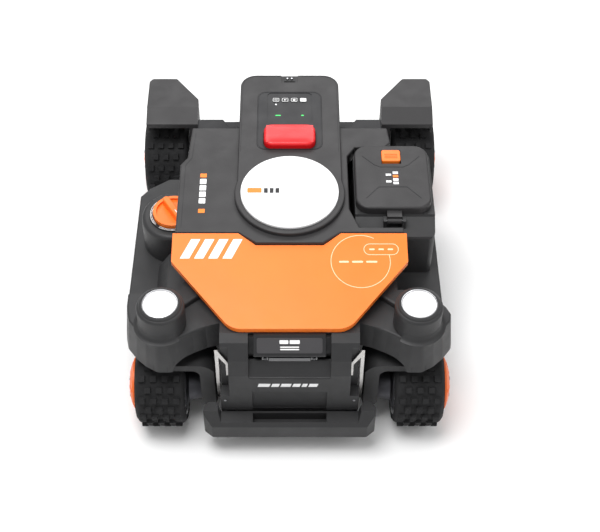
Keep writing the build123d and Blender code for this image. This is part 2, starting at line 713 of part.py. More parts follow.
with BuildPart() as top_cover:
    with BuildSketch(Plane.XY.offset(268)):
        add(outline(shoulder_points))
    extrude(amount=SHOULDER_TOP - 268)
    fillet(faces().sort_by(Axis.Z)[-1].edges(), 2.5)
    with BuildSketch(Plane.XY.offset(286)):
        with Locations((0, (SPINE_END + DISC_CENTRE[1]) / 2)):
            Rectangle(2 * SPINE_HALF, SPINE_END - DISC_CENTRE[1])
        fillet(vertices().group_by(Axis.Y)[-1], 29)
        with Locations(DISC_CENTRE):
            Circle(93)
    extrude(amount=SPINE_TOP - 286)
    fillet(edges().group_by(Axis.Z)[-1], 2.5)
    # hollow underside
    with BuildSketch(Plane.XY.offset(268)):
        add(outline(shoulder_points))
        offset(amount=-3.5, mode=Mode.REPLACE)
    extrude(amount=18, mode=Mode.SUBTRACT)
    with Locations((0, COVER_BACK, 277)):
        Box(2 * SPINE_HALF - 8, 12, 18, mode=Mode.SUBTRACT)
    # rear notch for the rain sensor
    with Locations((0, SPINE_END - 10, SPINE_TOP)):
        Box(30, 21, 6, mode=Mode.SUBTRACT)
    # recesses for the antenna disc and the control panel
    with BuildSketch(Plane.XY.offset(295)):
        with Locations(DISC_CENTRE):
            Circle(DISC_RADIUS + 0.8)
    extrude(amount=10, mode=Mode.SUBTRACT)
    with BuildSketch(Plane.XY.offset(PANEL_FLOOR)):
        with Locations((0, PANEL_Y)):
            RectangleRounded(2 * PANEL_HALF + 1, PANEL_LENGTH + 1, 16)
    extrude(amount=10, mode=Mode.SUBTRACT)
    with BuildSketch(Plane.XY.offset(280)):
        with Locations((0, STOP_Y)):
            Circle(12)
    extrude(amount=20, mode=Mode.SUBTRACT)
save(top_cover, "top_cover")

with BuildPart() as antenna_disc:
    with BuildSketch(Plane.XY.offset(295)):
        with Locations(DISC_CENTRE):
            Circle(DISC_RADIUS)
    extrude(amount=9)
    fillet(edges().group_by(Axis.Z)[-1], 2)
save(antenna_disc, "antenna_disc")

with BuildPart() as control_panel:
    with BuildSketch(Plane.XY.offset(PANEL_FLOOR)):
        with Locations((0, PANEL_Y)):
            RectangleRounded(2 * PANEL_HALF, PANEL_LENGTH, 15.5)
        with Locations((0, STOP_Y)):
            RectangleRounded(2 * STOP_HALF + 2, STOP_DEPTH + 2, 15.5, mode=Mode.SUBTRACT)
    extrude(amount=SPINE_TOP + 0.3 - PANEL_FLOOR)
    with BuildSketch(Plane.XY.offset(SPINE_TOP - 0.6)):
        with Locations((0, 177)):
            RectangleRounded(80, 78, 8)
    extrude(amount=2, mode=Mode.SUBTRACT)
    with BuildSketch(Plane.XY.offset(PANEL_FLOOR)):
        with Locations((0, KEY_Y)):
            with GridLocations(KEY_PITCH, 1, 4, 1):
                RectangleRounded(12.6, 10.6, 2.3)
    extrude(amount=10, mode=Mode.SUBTRACT)
save(control_panel, "control_panel")

key_names = ["power_key", "start_key", "home_key", "confirm_key"]
for index, key_name in enumerate(key_names):
    with BuildPart() as key:
        with BuildSketch(Plane.XY.offset(PANEL_FLOOR + 1.6)):
            with Locations(((index - 1.5) * KEY_PITCH, KEY_Y)):
                RectangleRounded(12, 10, 2)
        extrude(amount=SPINE_TOP + 0.2 - PANEL_FLOOR - 1.6)
        fillet(edges().group_by(Axis.Z)[-1], 0.4)
    save(key, key_name)

with BuildPart() as stop_button:
    with BuildSketch(Plane.XY.offset(299)):
        with Locations((0, STOP_Y)):
            RectangleRounded(2 * STOP_HALF, STOP_DEPTH, 15)
    extrude(amount=13)
    fillet(edges().group_by(Axis.Z)[-1], 5)
    with BuildSketch(Plane.XY.offset(276)):
        with Locations((0, STOP_Y)):
            Circle(10)
    extrude(amount=24)
save(stop_button, "stop_button")

with BuildPart() as rain_sensor:
    with Locations((0, SPINE_END - 10.2, 297.9)):
        Box(20, 12, 1.6)
    with BuildSketch(Plane.XY.offset(298.6)):
        with Locations((4, SPINE_END - 10), (-4, SPINE_END - 10)):
            Circle(2)
    extrude(amount=1.6)
save(rain_sensor, "rain_sensor")

# ---- battery bay -----------------------------------------------------------------------------
BAY_BACK = 81.0
BAY_FRONT = -100.0
BAY_RIM = 284.0
HINGE_HALF = 12.5
PIN_RADIUS = 2.0
with BuildPart() as battery_bay:
    with BuildSketch(Plane.YZ.offset(BAY_IN)):
        Polygon((BAY_FRONT, PANEL_TOP + 0.2), (BAY_BACK, PANEL_TOP + 0.2), (BAY_BACK, BAY_RIM),
                (-67, BAY_RIM), (-69, 280), (BAY_FRONT + 2, 262), (BAY_FRONT, 258), align=None)
    extrude(amount=BAY_OUT - BAY_IN)
    fillet(edges().filter_by(Axis.Z).group_by(Axis.Y)[-1], 18)
    fillet(edges().filter_by(Axis.Z).group_by(Axis.Y)[0], 10)
    with BuildSketch(Plane.XY.offset(PANEL_TOP)):
        with Locations((LID_CENTRE_X + 1, 8)):
            RectangleRounded(124, 136, 14)
    extrude(amount=120, mode=Mode.SUBTRACT)
    # hinge notch with two ears that carry the pin
    with Locations((LID_CENTRE_X, -84, 281)):
        Box(2 * HINGE_HALF + 1, 34, 26, mode=Mode.SUBTRACT)
    with BuildSketch(Plane.YZ.offset(LID_CENTRE_X - HINGE_HALF - 6)):
        with Locations((LID_HINGE_Y, LID_HINGE_Z - 4)):
            Rectangle(12, 18)
    extrude(amount=5.5)
    with BuildSketch(Plane.YZ.offset(LID_CENTRE_X + HINGE_HALF + 0.5)):
        with Locations((LID_HINGE_Y, LID_HINGE_Z - 4)):
            Rectangle(12, 18)
    extrude(amount=5.5)
    with BuildSketch(Plane.YZ.offset(LID_CENTRE_X)):
        with Locations((LID_HINGE_Y, LID_HINGE_Z)):
            Circle(PIN_RADIUS + 0.05)
    extrude(amount=HINGE_HALF + 8, both=True, mode=Mode.SUBTRACT)
save(battery_bay, "battery_bay")

with BuildPart() as hinge_pin:
    with BuildSketch(Plane.YZ.offset(LID_CENTRE_X)):
        with Locations((LID_HINGE_Y, LID_HINGE_Z)):
            Circle(PIN_RADIUS)
    extrude(amount=HINGE_HALF + 6, both=True)
save(hinge_pin, "lid_hinge_pin")

LATCH_Y = 54.5
LATCH_TRAVEL = 5.0
with BuildPart() as battery_lid:
    with BuildSketch(Plane.XY.offset(BAY_RIM + 0.4)):
        with Locations((LID_CENTRE_X, 7)):
            RectangleRounded(127, 148, 24)
    extrude(amount=SPINE_TOP - BAY_RIM - 0.4)
    fillet(edges().group_by(Axis.Z)[-1], 4)
    with BuildSketch(Plane.XY.offset(BAY_RIM + 0.4)):
        with Locations((LID_CENTRE_X, 7)):
            RectangleRounded(119, 140, 20)
    extrude(amount=9.6, mode=Mode.SUBTRACT)
    # slot for the latch
    with Locations((LID_CENTRE_X, LATCH_Y - LATCH_TRAVEL / 2, 297)):
        Box(33.6, 27 + LATCH_TRAVEL + 0.8, 8, mode=Mode.SUBTRACT)
    with Locations((LID_CENTRE_X, LATCH_Y - LATCH_TRAVEL / 2, 295)):
        Box(20, 18, 14, mode=Mode.SUBTRACT)
    # hinge arm and barrel
    with Locations((LID_CENTRE_X, -73, LID_HINGE_Z + 5.5)):
        Box(2 * HINGE_HALF - 0.6, 16, 9)
    with BuildSketch(Plane.YZ.offset(LID_CENTRE_X)):
        with Locations((LID_HINGE_Y, LID_HINGE_Z)):
            Circle(5)
    extrude(amount=HINGE_HALF - 0.3, both=True)
    with BuildSketch(Plane.YZ.offset(LID_CENTRE_X)):
        with Locations((LID_HINGE_Y, LID_HINGE_Z)):
            Circle(PIN_RADIUS + RUNNING_FIT)
    extrude(amount=HINGE_HALF + 1, both=True, mode=Mode.SUBTRACT)
save(battery_lid, "battery_lid")

with BuildPart() as lid_latch:
    with BuildSketch(Plane.XY.offset(293.4)):
        with Locations((LID_CENTRE_X, LATCH_Y)):
            RectangleRounded(32.5, 27, 4)
    extrude(amount=8.2)
    fillet(edges().group_by(Axis.Z)[-1], 1.5)
    with Locations((LID_CENTRE_X, LATCH_Y, 290.5)):
        Box(10, 8, 6)
    with Locations((LID_CENTRE_X, LATCH_Y + 8, 288)):
        Box(10, 24, 2.4)
save(lid_latch, "lid_latch")

with BuildPart() as battery_pack:
    with BuildSketch(Plane.XY.offset(PANEL_TOP + 0.6)):
        with Locations((LID_CENTRE_X + 1, 8)):
            RectangleRounded(112, 124, 10)
    extrude(amount=92)
    fillet(edges().group_by(Axis.Z)[-1], 4)
    with Locations((LID_CENTRE_X + 1, 8, 268)):
        Box(70, 40, 8)
save(battery_pack, "battery_pack")

# ---- rear fenders ----------------------------------------------------------------------------
fender_points = [(172, 222), (268, 222), (268, 326), (262, 334), (216, 334), (172, 277)]
FENDER_TOP = 230.0
with BuildPart() as fender:
    with BuildSketch(Plane.XY.offset(PAN_TOP + 0.2)):
        add(outline(fender_points))
        fillet(vertices().filter_by(lambda v: v.Y > 270), 5)
    extrude(amount=FENDER_TOP - PAN_TOP)
    # the front third of the top slopes down to the lip
    with BuildSketch(Plane.YZ.offset(150)):
        Polygon((210, 216), (222, 216), (257, 228.5), (340, 230.3), (340, 260), (210, 260),
                align=None)
    extrude(amount=150, mode=Mode.SUBTRACT)
    fillet(faces().filter_by(Axis.Z, reverse=True).edges().filter_by(
        lambda e: e.center().Z > 215 and e.center().X > 171).filter_by(GeomType.LINE)
        .group_by(Axis.Y)[0], 3)
    # wheel housing
    with BuildSketch(Plane.YZ.offset(188)):
        Polygon((200, 100), (200, 196), (226, 209), (257, 223), (326, 225), (326, 192),
                (360, 192), (360, 100), align=None)
    extrude(amount=76, mode=Mode.SUBTRACT)
    with BuildSketch(Plane.YZ.offset(260)):
        Polygon((200, 100), (200, 196), (360, 196), (360, 100), align=None)
    extrude(amount=20, mode=Mode.SUBTRACT)
save_pair(fender, "rear_fender")

# ---- cutter ----------------------------------------------------------------------------------
BLADE_PIVOT = 82.0
PIN_RADIUS = 3.0
CARRIER_RADIUS = 36.0
with BuildPart() as cutter_carrier:
    with BuildSketch(Plane.XY.offset(80)):
        with Locations((0, CUT_Y)):
            Circle(CARRIER_RADIUS)
    extrude(amount=82)
    with BuildSketch(Plane.XY.offset(152)):
        with Locations((0, CUT_Y)):
            SlotOverall(2 * POST_X + 24, 26)
    extrude(amount=10)
    with BuildSketch(Plane.XY.offset(84)):
        with Locations((0, CUT_Y)):
            Circle(29)
    extrude(amount=100, mode=Mode.SUBTRACT)
    with BuildSketch(Plane.XY.offset(70)):
        with Locations((0, CUT_Y)):
            Circle(10)
        with Locations((POST_X, CUT_Y), (-POST_X, CUT_Y)):
            Circle(5 + RUNNING_FIT)
    extrude(amount=100, mode=Mode.SUBTRACT)
save(cutter_carrier, "cutter_carrier")

with BuildPart() as cutter_motor:
    with BuildSketch(Plane.XY.offset(84.2)):
        with Locations((0, CUT_Y)):
            Circle(28.8)
    extrude(amount=66)
    fillet(edges().group_by(Axis.Z)[-1], 3)
    with BuildSketch(Plane.XY.offset(56)):
        with Locations((0, CUT_Y)):
            Circle(4)
    extrude(amount=29)
save(cutter_motor, "cutter_motor")

with BuildPart() as blade_disc:
    with BuildSketch(Plane.XY.offset(50.6)):
        with Locations((0, CUT_Y)):
            Circle(95)
            with PolarLocations(BLADE_PIVOT, 3):
                Circle(PIN_RADIUS, mode=Mode.SUBTRACT)
            with PolarLocations(55, 3, start_angle=60):
                Circle(12, mode=Mode.SUBTRACT)
    extrude(amount=3)
    with BuildSketch(Plane.XY.offset(53.6)):
        with Locations((0, CUT_Y)):
            Circle(18)
    extrude(amount=16, taper=8)
    with BuildSketch(Plane.XY.offset(50)):
        with Locations((0, CUT_Y)):
            Circle(4 + RUNNING_FIT)
    extrude(amount=30, mode=Mode.SUBTRACT)
save(blade_disc, "blade_disc")

with BuildPart() as blade_screws:
    with BuildSketch(Plane.XY.offset(48.4)):
        with Locations((0, CUT_Y)):
            with PolarLocations(BLADE_PIVOT, 3):
                Circle(PIN_RADIUS)
    extrude(amount=6)
    with BuildSketch(Plane.XY.offset(46.2)):
        with Locations((0, CUT_Y)):
            with PolarLocations(BLADE_PIVOT, 3):
                Circle(5.5)
                Rectangle(7, 1.2, mode=Mode.SUBTRACT)
    extrude(amount=2.4)
save(blade_screws, "blade_screws")

for index in range(3):
    turn = 360 / 3 * index
    pivot = Plane(
        origin=(BLADE_PIVOT * cos(radians(turn)), CUT_Y + BLADE_PIVOT * sin(radians(turn)), 49.0),
        x_dir=(cos(radians(turn)), sin(radians(turn)), 0),
    )
    with BuildPart() as blade:
        with BuildSketch(pivot):
            Polygon((-7, -8), (29, -8), (34, -3), (34, 3), (29, 8), (-7, 8), align=None)
            Circle(PIN_RADIUS + RUNNING_FIT, mode=Mode.SUBTRACT)
        extrude(amount=1.2)
    save(blade, f"blade_{index + 1}")

# ---- electronics -----------------------------------------------------------------------------
with BuildPart() as main_board:
    with BuildSketch(Plane.XY.offset(206)):
        with Locations((-18, 60)):
            Rectangle(150, 110)
            with GridLocations(138, 98, 2, 2):
                Circle(2, mode=Mode.SUBTRACT)
    extrude(amount=1.6)
    with Locations((-50, 80, 213), (0, 45, 211.5), (30, 85, 212)):
        Box(26, 20, 12)
save(main_board, "main_board")
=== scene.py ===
"""Looks of the robotic lawn mower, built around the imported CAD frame.

Metres. +Z is up and the machine drives towards -Y. In piece names, left is -X and right is +X.
"""

import json
import math

import bmesh
import bpy
from mathutils import Matrix, Vector
from mathutils.bvhtree import BVHTree


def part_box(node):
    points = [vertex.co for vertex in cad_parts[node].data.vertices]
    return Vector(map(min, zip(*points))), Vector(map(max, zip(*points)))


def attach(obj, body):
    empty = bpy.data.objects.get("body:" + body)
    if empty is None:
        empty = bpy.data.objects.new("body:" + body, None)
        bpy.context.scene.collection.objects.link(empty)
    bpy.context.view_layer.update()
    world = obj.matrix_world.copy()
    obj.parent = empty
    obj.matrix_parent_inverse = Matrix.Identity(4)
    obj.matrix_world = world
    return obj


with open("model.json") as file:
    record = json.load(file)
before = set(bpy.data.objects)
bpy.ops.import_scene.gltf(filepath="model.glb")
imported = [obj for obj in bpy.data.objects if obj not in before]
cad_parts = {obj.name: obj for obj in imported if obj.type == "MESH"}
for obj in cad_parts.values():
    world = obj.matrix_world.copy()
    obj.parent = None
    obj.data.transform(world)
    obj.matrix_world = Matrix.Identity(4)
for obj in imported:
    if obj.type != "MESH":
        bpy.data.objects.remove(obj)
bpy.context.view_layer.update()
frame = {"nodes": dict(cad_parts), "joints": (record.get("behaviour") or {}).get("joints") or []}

joints = {joint["name"]: joint for joint in frame["joints"]}
SIDES = {"left": -1, "right": 1}
MM = 0.001
LIFT = 0.00015  # how far a printed mark stands above the surface under it
INK = 0.0002  # thickness of a printed mark


# ---- materials ------------------------------------------------------------------------------
def linear(red, green, blue):
    """Linear colour from 0 to 255 display values."""
    return tuple((value / 255) ** 2.2 for value in (red, green, blue)) + (1.0,)


def node(tree, kind, place=(0, 0), **values):
    made = tree.nodes.new(kind)
    made.location = place
    for name, value in values.items():
        made.inputs[name.replace("_", " ")].default_value = value
    return made


def new_material(name, **constants):
    """A material with its shader, and object coordinates for its patterns."""
    material = bpy.data.materials.new(name)
    material.use_nodes = True
    tree = material.node_tree
    shader = tree.nodes["Principled BSDF"]
    for socket, value in constants.items():
        shader.inputs[socket.replace("_", " ")].default_value = value
    coordinates = tree.nodes.new("ShaderNodeTexCoord")
    return material, tree, shader, coordinates.outputs["Object"]


def add_mottle(tree, shader, where, colour, amount, scale):
    """Base colour that varies softly between a darker and a lighter tone."""
    noise = node(tree, "ShaderNodeTexNoise", (-700, 300), Scale=scale, Detail=5.0, Roughness=0.6)
    ramp = tree.nodes.new("ShaderNodeValToRGB")
    ramp.location = (-450, 300)
    ramp.color_ramp.elements[0].position = 0.3
    ramp.color_ramp.elements[1].position = 0.7
    for element, factor in zip(ramp.color_ramp.elements, (1 - amount, 1 + amount)):
        element.color = tuple(min(1.0, channel * factor) for channel in colour[:3]) + (1.0,)
    tree.links.new(where, noise.inputs["Vector"])
    tree.links.new(noise.outputs["Fac"], ramp.inputs["Fac"])
    tree.links.new(ramp.outputs["Color"], shader.inputs["Base Color"])


def add_roughness(tree, shader, where, low, high, scale):
    noise = node(tree, "ShaderNodeTexNoise", (-700, 0), Scale=scale, Detail=4.0)
    spread = tree.nodes.new("ShaderNodeMapRange")
    spread.inputs["From Min"].default_value = 0.3
    spread.inputs["From Max"].default_value = 0.7
    spread.inputs["To Min"].default_value = low
    spread.inputs["To Max"].default_value = high
    tree.links.new(where, noise.inputs["Vector"])
    tree.links.new(noise.outputs["Fac"], spread.inputs["Value"])
    tree.links.new(spread.outputs["Result"], shader.inputs["Roughness"])


def add_grain(tree, shader, where, scale, strength, depth):
    """Fine moulded grain: small cells with soft noise over them."""
    cells = node(tree, "ShaderNodeTexVoronoi", (-900, -300), Scale=scale)
    noise = node(tree, "ShaderNodeTexNoise", (-900, -550), Scale=scale * 0.7, Detail=3.0)
    both = tree.nodes.new("ShaderNodeMath")
    both.operation = "ADD"
    bump = node(tree, "ShaderNodeBump", (-350, -350), Strength=strength, Distance=depth)
    for texture in (cells, noise):
        tree.links.new(where, texture.inputs["Vector"])
    tree.links.new(cells.outputs["Distance"], both.inputs[0])
    tree.links.new(noise.outputs["Fac"], both.inputs[1])
    tree.links.new(both.outputs["Value"], bump.inputs["Height"])
    tree.links.new(bump.outputs["Normal"], shader.inputs["Normal"])


def moulded(name, colour, rough, mottle=0.08, grain=1100.0, strength=0.35, **constants):
    """Textured moulded plastic."""
    material, tree, shader, where = new_material(name, **constants)
    add_mottle(tree, shader, where, colour, mottle, 14.0)
    add_roughness(tree, shader, where, rough - 0.05, rough + 0.06, 35.0)
    add_grain(tree, shader, where, grain, strength, 0.00025)
    return material


def rubber(name, colour):
    """Tyre rubber: matt, with fine pits and a thin film of dust."""
    material, tree, shader, where = new_material(name, Specular_IOR_Level=0.3)
    add_mottle(tree, shader, where, colour, 0.22, 60.0)
    add_roughness(tree, shader, where, 0.72, 0.9, 90.0)
    add_grain(tree, shader, where, 700.0, 0.5, 0.0004)
    return material


def metal(name, colour, rough, brush):
    """Metal with brushing along one direction."""
    material, tree, shader, where = new_material(name, Metallic=1.0)
    add_mottle(tree, shader, where, colour, 0.06, 40.0)
    add_roughness(tree, shader, where, rough - 0.06, rough + 0.08, 60.0)
    stretch = tree.nodes.new("ShaderNodeMapping")
    stretch.inputs["Scale"].default_value = brush
    noise = node(tree, "ShaderNodeTexNoise", Scale=1.0, Detail=4.0)
    bump = node(tree, "ShaderNodeBump", Strength=0.25, Distance=0.0001)
    tree.links.new(where, stretch.inputs["Vector"])
    tree.links.new(stretch.outputs["Vector"], noise.inputs["Vector"])
    tree.links.new(noise.outputs["Fac"], bump.inputs["Height"])
    tree.links.new(bump.outputs["Normal"], shader.inputs["Normal"])
    return material


def glowing(name, colour, strength):
    material, tree, shader, where = new_material(
        name, Emission_Color=colour, Emission_Strength=strength, Roughness=0.3
    )
    add_mottle(tree, shader, where, colour, 0.05, 300.0)
    return material


def circuit(name):
    """Green board with lighter copper tracks."""
    material, tree, shader, where = new_material(name, Roughness=0.35)
    tracks = node(tree, "ShaderNodeTexBrick", Scale=90.0, Mortar_Size=0.08)
    tracks.inputs["Color1"].default_value = linear(20, 85, 45)
    tracks.inputs["Color2"].default_value = linear(24, 95, 50)
    tracks.inputs["Mortar"].default_value = linear(60, 140, 80)
    tree.links.new(where, tracks.inputs["Vector"])
    tree.links.new(tracks.outputs["Color"], shader.inputs["Base Color"])
    return material


GREY = moulded("grey_moulded", linear(47, 47, 48), 0.52, Specular_IOR_Level=0.42)
GREY_TOP = moulded(
    "grey_cover", linear(50, 49, 50), 0.5, grain=900.0, strength=0.3, Specular_IOR_Level=0.42
)
DARK = moulded("dark_moulded", linear(36, 36, 38), 0.55, Specular_IOR_Level=0.4)
BLACK = moulded("black_moulded", linear(30, 30, 32), 0.5)
ORANGE = moulded("orange_moulded", linear(250, 122, 38), 0.42, 0.035, 1300.0, 0.18)
ORANGE_DEEP = moulded("orange_caps", linear(240, 106, 32), 0.44, 0.05, 1000.0, 0.25)
WHITE = moulded("white_smooth", linear(248, 248, 249), 0.4, 0.008, 1600.0, 0.03)
PANEL = moulded("panel_black", linear(42, 42, 44), 0.5, 0.04, 1500.0, 0.1, Specular_IOR_Level=0.4)
KEYS = moulded("key_black", linear(34, 34, 36), 0.42, 0.05, 1500.0, 0.08, Coat_Weight=0.1)
RED = moulded(
    "stop_red", linear(214, 10, 22), 0.36, 0.03, 1400.0, 0.05, Coat_Weight=0.1, Coat_Roughness=0.2
)
RIM = moulded("rim_silver", linear(178, 180, 182), 0.38, 0.04, 1000.0, 0.2, Metallic=0.35)
BATTERY = moulded("battery_case", linear(48, 49, 55), 0.4, 0.06, 900.0, 0.4)
TYRE = rubber("tyre_rubber", linear(38, 38, 39))
CONTACT = metal("contact_metal", linear(196, 194, 192), 0.32, (400.0, 400.0, 25.0))
STEEL = metal("steel", linear(168, 168, 172), 0.28, (30.0, 900.0, 900.0))
MOTOR = metal("motor_case", linear(84, 84, 88), 0.5, (500.0, 500.0, 500.0))
# Bright metal ring round the tower caps, which paints a highlight.
SILVER_HIGHLIGHT = metal("silver_highlight_ring", linear(190, 190, 192), 0.3, (700.0, 700.0, 700.0))
BOARD = circuit("circuit_board")
WHITE_INK = moulded("white_ink", linear(244, 244, 244), 0.5, 0.01, 2000.0, 0.04)
PALE_INK = moulded("pale_ink", linear(255, 214, 170), 0.5, 0.01, 2000.0, 0.04)
PLATE = moulded("label_plate", linear(66, 65, 67), 0.4, 0.03, 1800.0, 0.06)
ORANGE_INK = moulded("orange_ink", linear(250, 130, 40), 0.5, 0.02, 2000.0, 0.04)
# Dark lines: at the seams they are dark joints; in the lid's grooves, the guard's notches and under
# the camera recess's lip they are painted shade.
SEAM_AND_SHADE_LINE = moulded("line_shadow", linear(34, 34, 36), 0.6, 0.04, 1200.0, 0.2)
GREEN = glowing("green_light", linear(40, 210, 90), 0.6)
GLASS = moulded(
    "lens_glass", linear(62, 62, 66), 0.08, 0.03, 2500.0, 0.0, Coat_Weight=1.0, Coat_Roughness=0.03
)

node_materials = {
    "chassis_tub": DARK, "front_arm_": GREY, "side_p": GREY, "front_nose": GREY,
    "top_cover": GREY_TOP, "battery_bay": GREY, "rear_fender_": GREY_TOP, "battery_lid": GREY_TOP,
    "belly_plate": DARK, "dial_ring": BLACK, "camera_housing": BLACK, "bumper": GREY,
    "rain_sensor": BLACK, "steering_knuckle_": GREY, "cutter_carrier": DARK,
    "control_panel": PANEL, "power_key": KEYS, "start_key": KEYS, "home_key": KEYS,
    "confirm_key": KEYS, "orange_hood": ORANGE, "height_dial": ORANGE, "lid_latch": ORANGE,
    "antenna_disc": WHITE, "tower_caps": WHITE, "stop_button": RED, "charging_contacts": CONTACT,
    "belly_screws": STEEL, "lid_hinge_pin": STEEL, "blade_": STEEL, "rear_gearmotor": MOTOR,
    "steering_motor": MOTOR, "front_hub_motor_": MOTOR, "cutter_motor": MOTOR,
    "camera_window": GLASS, "main_board": BOARD, "battery_pack": BATTERY,
    "front_tyre_": TYRE, "rear_tyre_": TYRE, "front_rim_": RIM, "rear_rim_": RIM,
    "front_hub_cap_": ORANGE_DEEP, "rear_hub_cap_": ORANGE_DEEP,
}
for node_name, cad in frame["nodes"].items():
    start = max((key for key in node_materials if node_name.startswith(key)), key=len)
    cad.data.materials.clear()
    cad.data.materials.append(node_materials[start])


SHARP_ANGLE = 35.0


# ---- building meshes ------------------------------------------------------------------------
def finish_piece(name, mesh_data, body, material):
    """Turns a bmesh into a named piece that rides on a body."""
    bmesh.ops.recalc_face_normals(mesh_data, faces=mesh_data.faces)
    mesh = bpy.data.meshes.new(name)
    mesh_data.to_mesh(mesh)
    mesh_data.free()
    mesh.materials.append(material)
    for polygon in mesh.polygons:
        polygon.use_smooth = True
    mesh.set_sharp_from_angle(angle=math.radians(SHARP_ANGLE))
    piece = bpy.data.objects.new(name, mesh)
    bpy.context.scene.collection.objects.link(piece)
    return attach(piece, body)


def circle(radius, centre=(0.0, 0.0), count=64, start=0.0, turn=math.tau):
    """Points round a circle, or along an arc of it."""
    steps = count if turn >= math.tau else count - 1
    return [
        (
            centre[0] + radius * math.cos(start + turn * step / steps),
            centre[1] + radius * math.sin(start + turn * step / steps),
        )
        for step in range(count)
    ]


def rounded_box(width, height, radius, centre=(0.0, 0.0), per_corner=7):
    """Outline of a rectangle with round corners."""
    points = []
    for corner in range(4):
        angle = corner * math.pi / 2
        x = (width / 2 - radius) * (1 if corner in (0, 3) else -1)
        y = (height / 2 - radius) * (1 if corner in (0, 1) else -1)
        middle = (centre[0] + x, centre[1] + y)
        points += circle(radius, middle, per_corner, angle, math.pi / 2)
    return points


def slanted_bar(x, y, width, height, lean):
    """Outline of a bar whose top is moved sideways by lean."""
    return [(x, y), (x + width, y), (x + width + lean, y + height), (x + lean, y + height)]


def offset_path(points, distance, closed):
    """The path moved sideways by distance, with mitred corners."""
    moved = []
    count = len(points)
    for index, point in enumerate(points):
        before = points[index - 1] if closed or index else point
        after = points[(index + 1) % count] if closed or index < count - 1 else point
        into = Vector(point) - Vector(before)
        out = Vector(after) - Vector(point)
        into = (into if into.length else out).normalized()
        out = (out if out.length else into).normalized()
        middle = (into + out).normalized()
        normal = Vector((-middle.y, middle.x))
        stretch = 1 / max(0.35, math.sqrt(max(0.0, (1 + into.dot(out)) / 2)))
        moved.append(Vector(point) + normal * distance * stretch)
    return moved


def mark(name, body, material, place, fills=(), strokes=(), thickness=INK):
    """A thin raised shape: filled outlines, and strokes of (points, width, closed)."""
    shape = bmesh.new()
    tops = []
    for points in fills:
        tops.append(shape.faces.new([shape.verts.new((x, y, 0)) for x, y in points]))
    for points, width, closed in strokes:
        outer = [shape.verts.new((*p, 0)) for p in offset_path(points, width / 2, closed)]
        inner = [shape.verts.new((*p, 0)) for p in offset_path(points, -width / 2, closed)]
        count = len(points)
        for index in range(count if closed else count - 1):
            after = (index + 1) % count
            tops.append(
                shape.faces.new((outer[index], inner[index], inner[after], outer[after]))
            )
    raised = bmesh.ops.extrude_face_region(shape, geom=tops)["geom"]
    for vertex in raised:
        if isinstance(vertex, bmesh.types.BMVert):
            vertex.co.z += thickness
    for vertex in shape.verts:
        vertex.co = place(*vertex.co)
    return finish_piece(name, shape, body, material)


def lathe(name, body, material, centre, profile, axis="Z", steps=72, turn=math.tau, start=0.0):
    """A ring or dome: profile is (radius, height) points, turned about an axis at centre.

    A profile that keeps off the axis is closed on itself, so it makes a solid ring.
    """
    shape = bmesh.new()
    closed = turn >= math.tau
    rows = []
    for step in range(steps if closed else steps + 1):
        angle = start + turn * step / steps
        row = []
        for radius, height in profile:
            across, along = radius * math.cos(angle), radius * math.sin(angle)
            spot = (across, along, height) if axis == "Z" else (height, across, along)
            row.append(shape.verts.new(Vector(centre) + Vector(spot)))
        rows.append(row)
    for index in range(len(rows) if closed else len(rows) - 1):
        here, there = rows[index], rows[(index + 1) % len(rows)]
        ring = all(radius > 0 for radius, height in profile)
        for low in range(len(profile) if ring else len(profile) - 1):
            high = (low + 1) % len(profile)
            shape.faces.new((here[low], here[high], there[high], there[low]))
    if not closed:
        shape.faces.new(rows[0])
        shape.faces.new(rows[-1])
    bmesh.ops.remove_doubles(shape, verts=shape.verts, dist=1e-6)
    return finish_piece(name, shape, body, material)


surfaces = {}


def surface(node_name):
    if node_name not in surfaces:
        mesh = frame["nodes"][node_name].data
        corners = [vertex.co.copy() for vertex in mesh.vertices]
        faces = [tuple(polygon.vertices) for polygon in mesh.polygons]
        surfaces[node_name] = BVHTree.FromPolygons(corners, faces)
    return surfaces[node_name]


def seen_from(node_name, start, way):
    """Where a ray meets the node, or the node's closest point where the ray passes it by."""
    hit = surface(node_name).ray_cast(start, way)[0]
    if hit is None:
        low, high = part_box(node_name)
        middle = (low + high) / 2
        reach = (middle - start).dot(way)
        hit = surface(node_name).find_nearest(start + way * reach)[0]
    return hit


def on_top(node_name, lift=LIFT):
    """Places a mark's points on the node's upper surface."""
    def place(x, y, height):
        hit = seen_from(node_name, Vector((x, y, 1.0)), Vector((0, 0, -1)))
        return Vector((x, y, hit.z + lift + height))
    return place


def on_front(node_name, lift=LIFT):
    """Places a mark drawn in X and Z on the node's front surface."""
    def place(x, z, height):
        hit = seen_from(node_name, Vector((x, -1.0, z)), Vector((0, 1, 0)))
        return Vector((x, hit.y - lift - height, z))
    return place


def on_side(node_name, side, lift=LIFT):
    """Places a mark drawn in Y and Z on the node's outer side."""
    def place(y, z, height):
        hit = seen_from(node_name, Vector((side, y, z)), Vector((-side, 0, 0)))
        return Vector((hit.x + side * (lift + height), y, z))
    return place


def on_back(node_name, lift=LIFT):
    """Places a mark drawn in X and Z on the node's rear surface."""
    def place(x, z, height):
        hit = seen_from(node_name, Vector((x, 1.0, z)), Vector((0, -1, 0)))
        return Vector((x, hit.y + lift + height, z))
    return place


def flat_at(z, lift=LIFT):
    """Places a mark on a level plane."""
    return lambda x, y, height: Vector((x, y, z + lift + height))


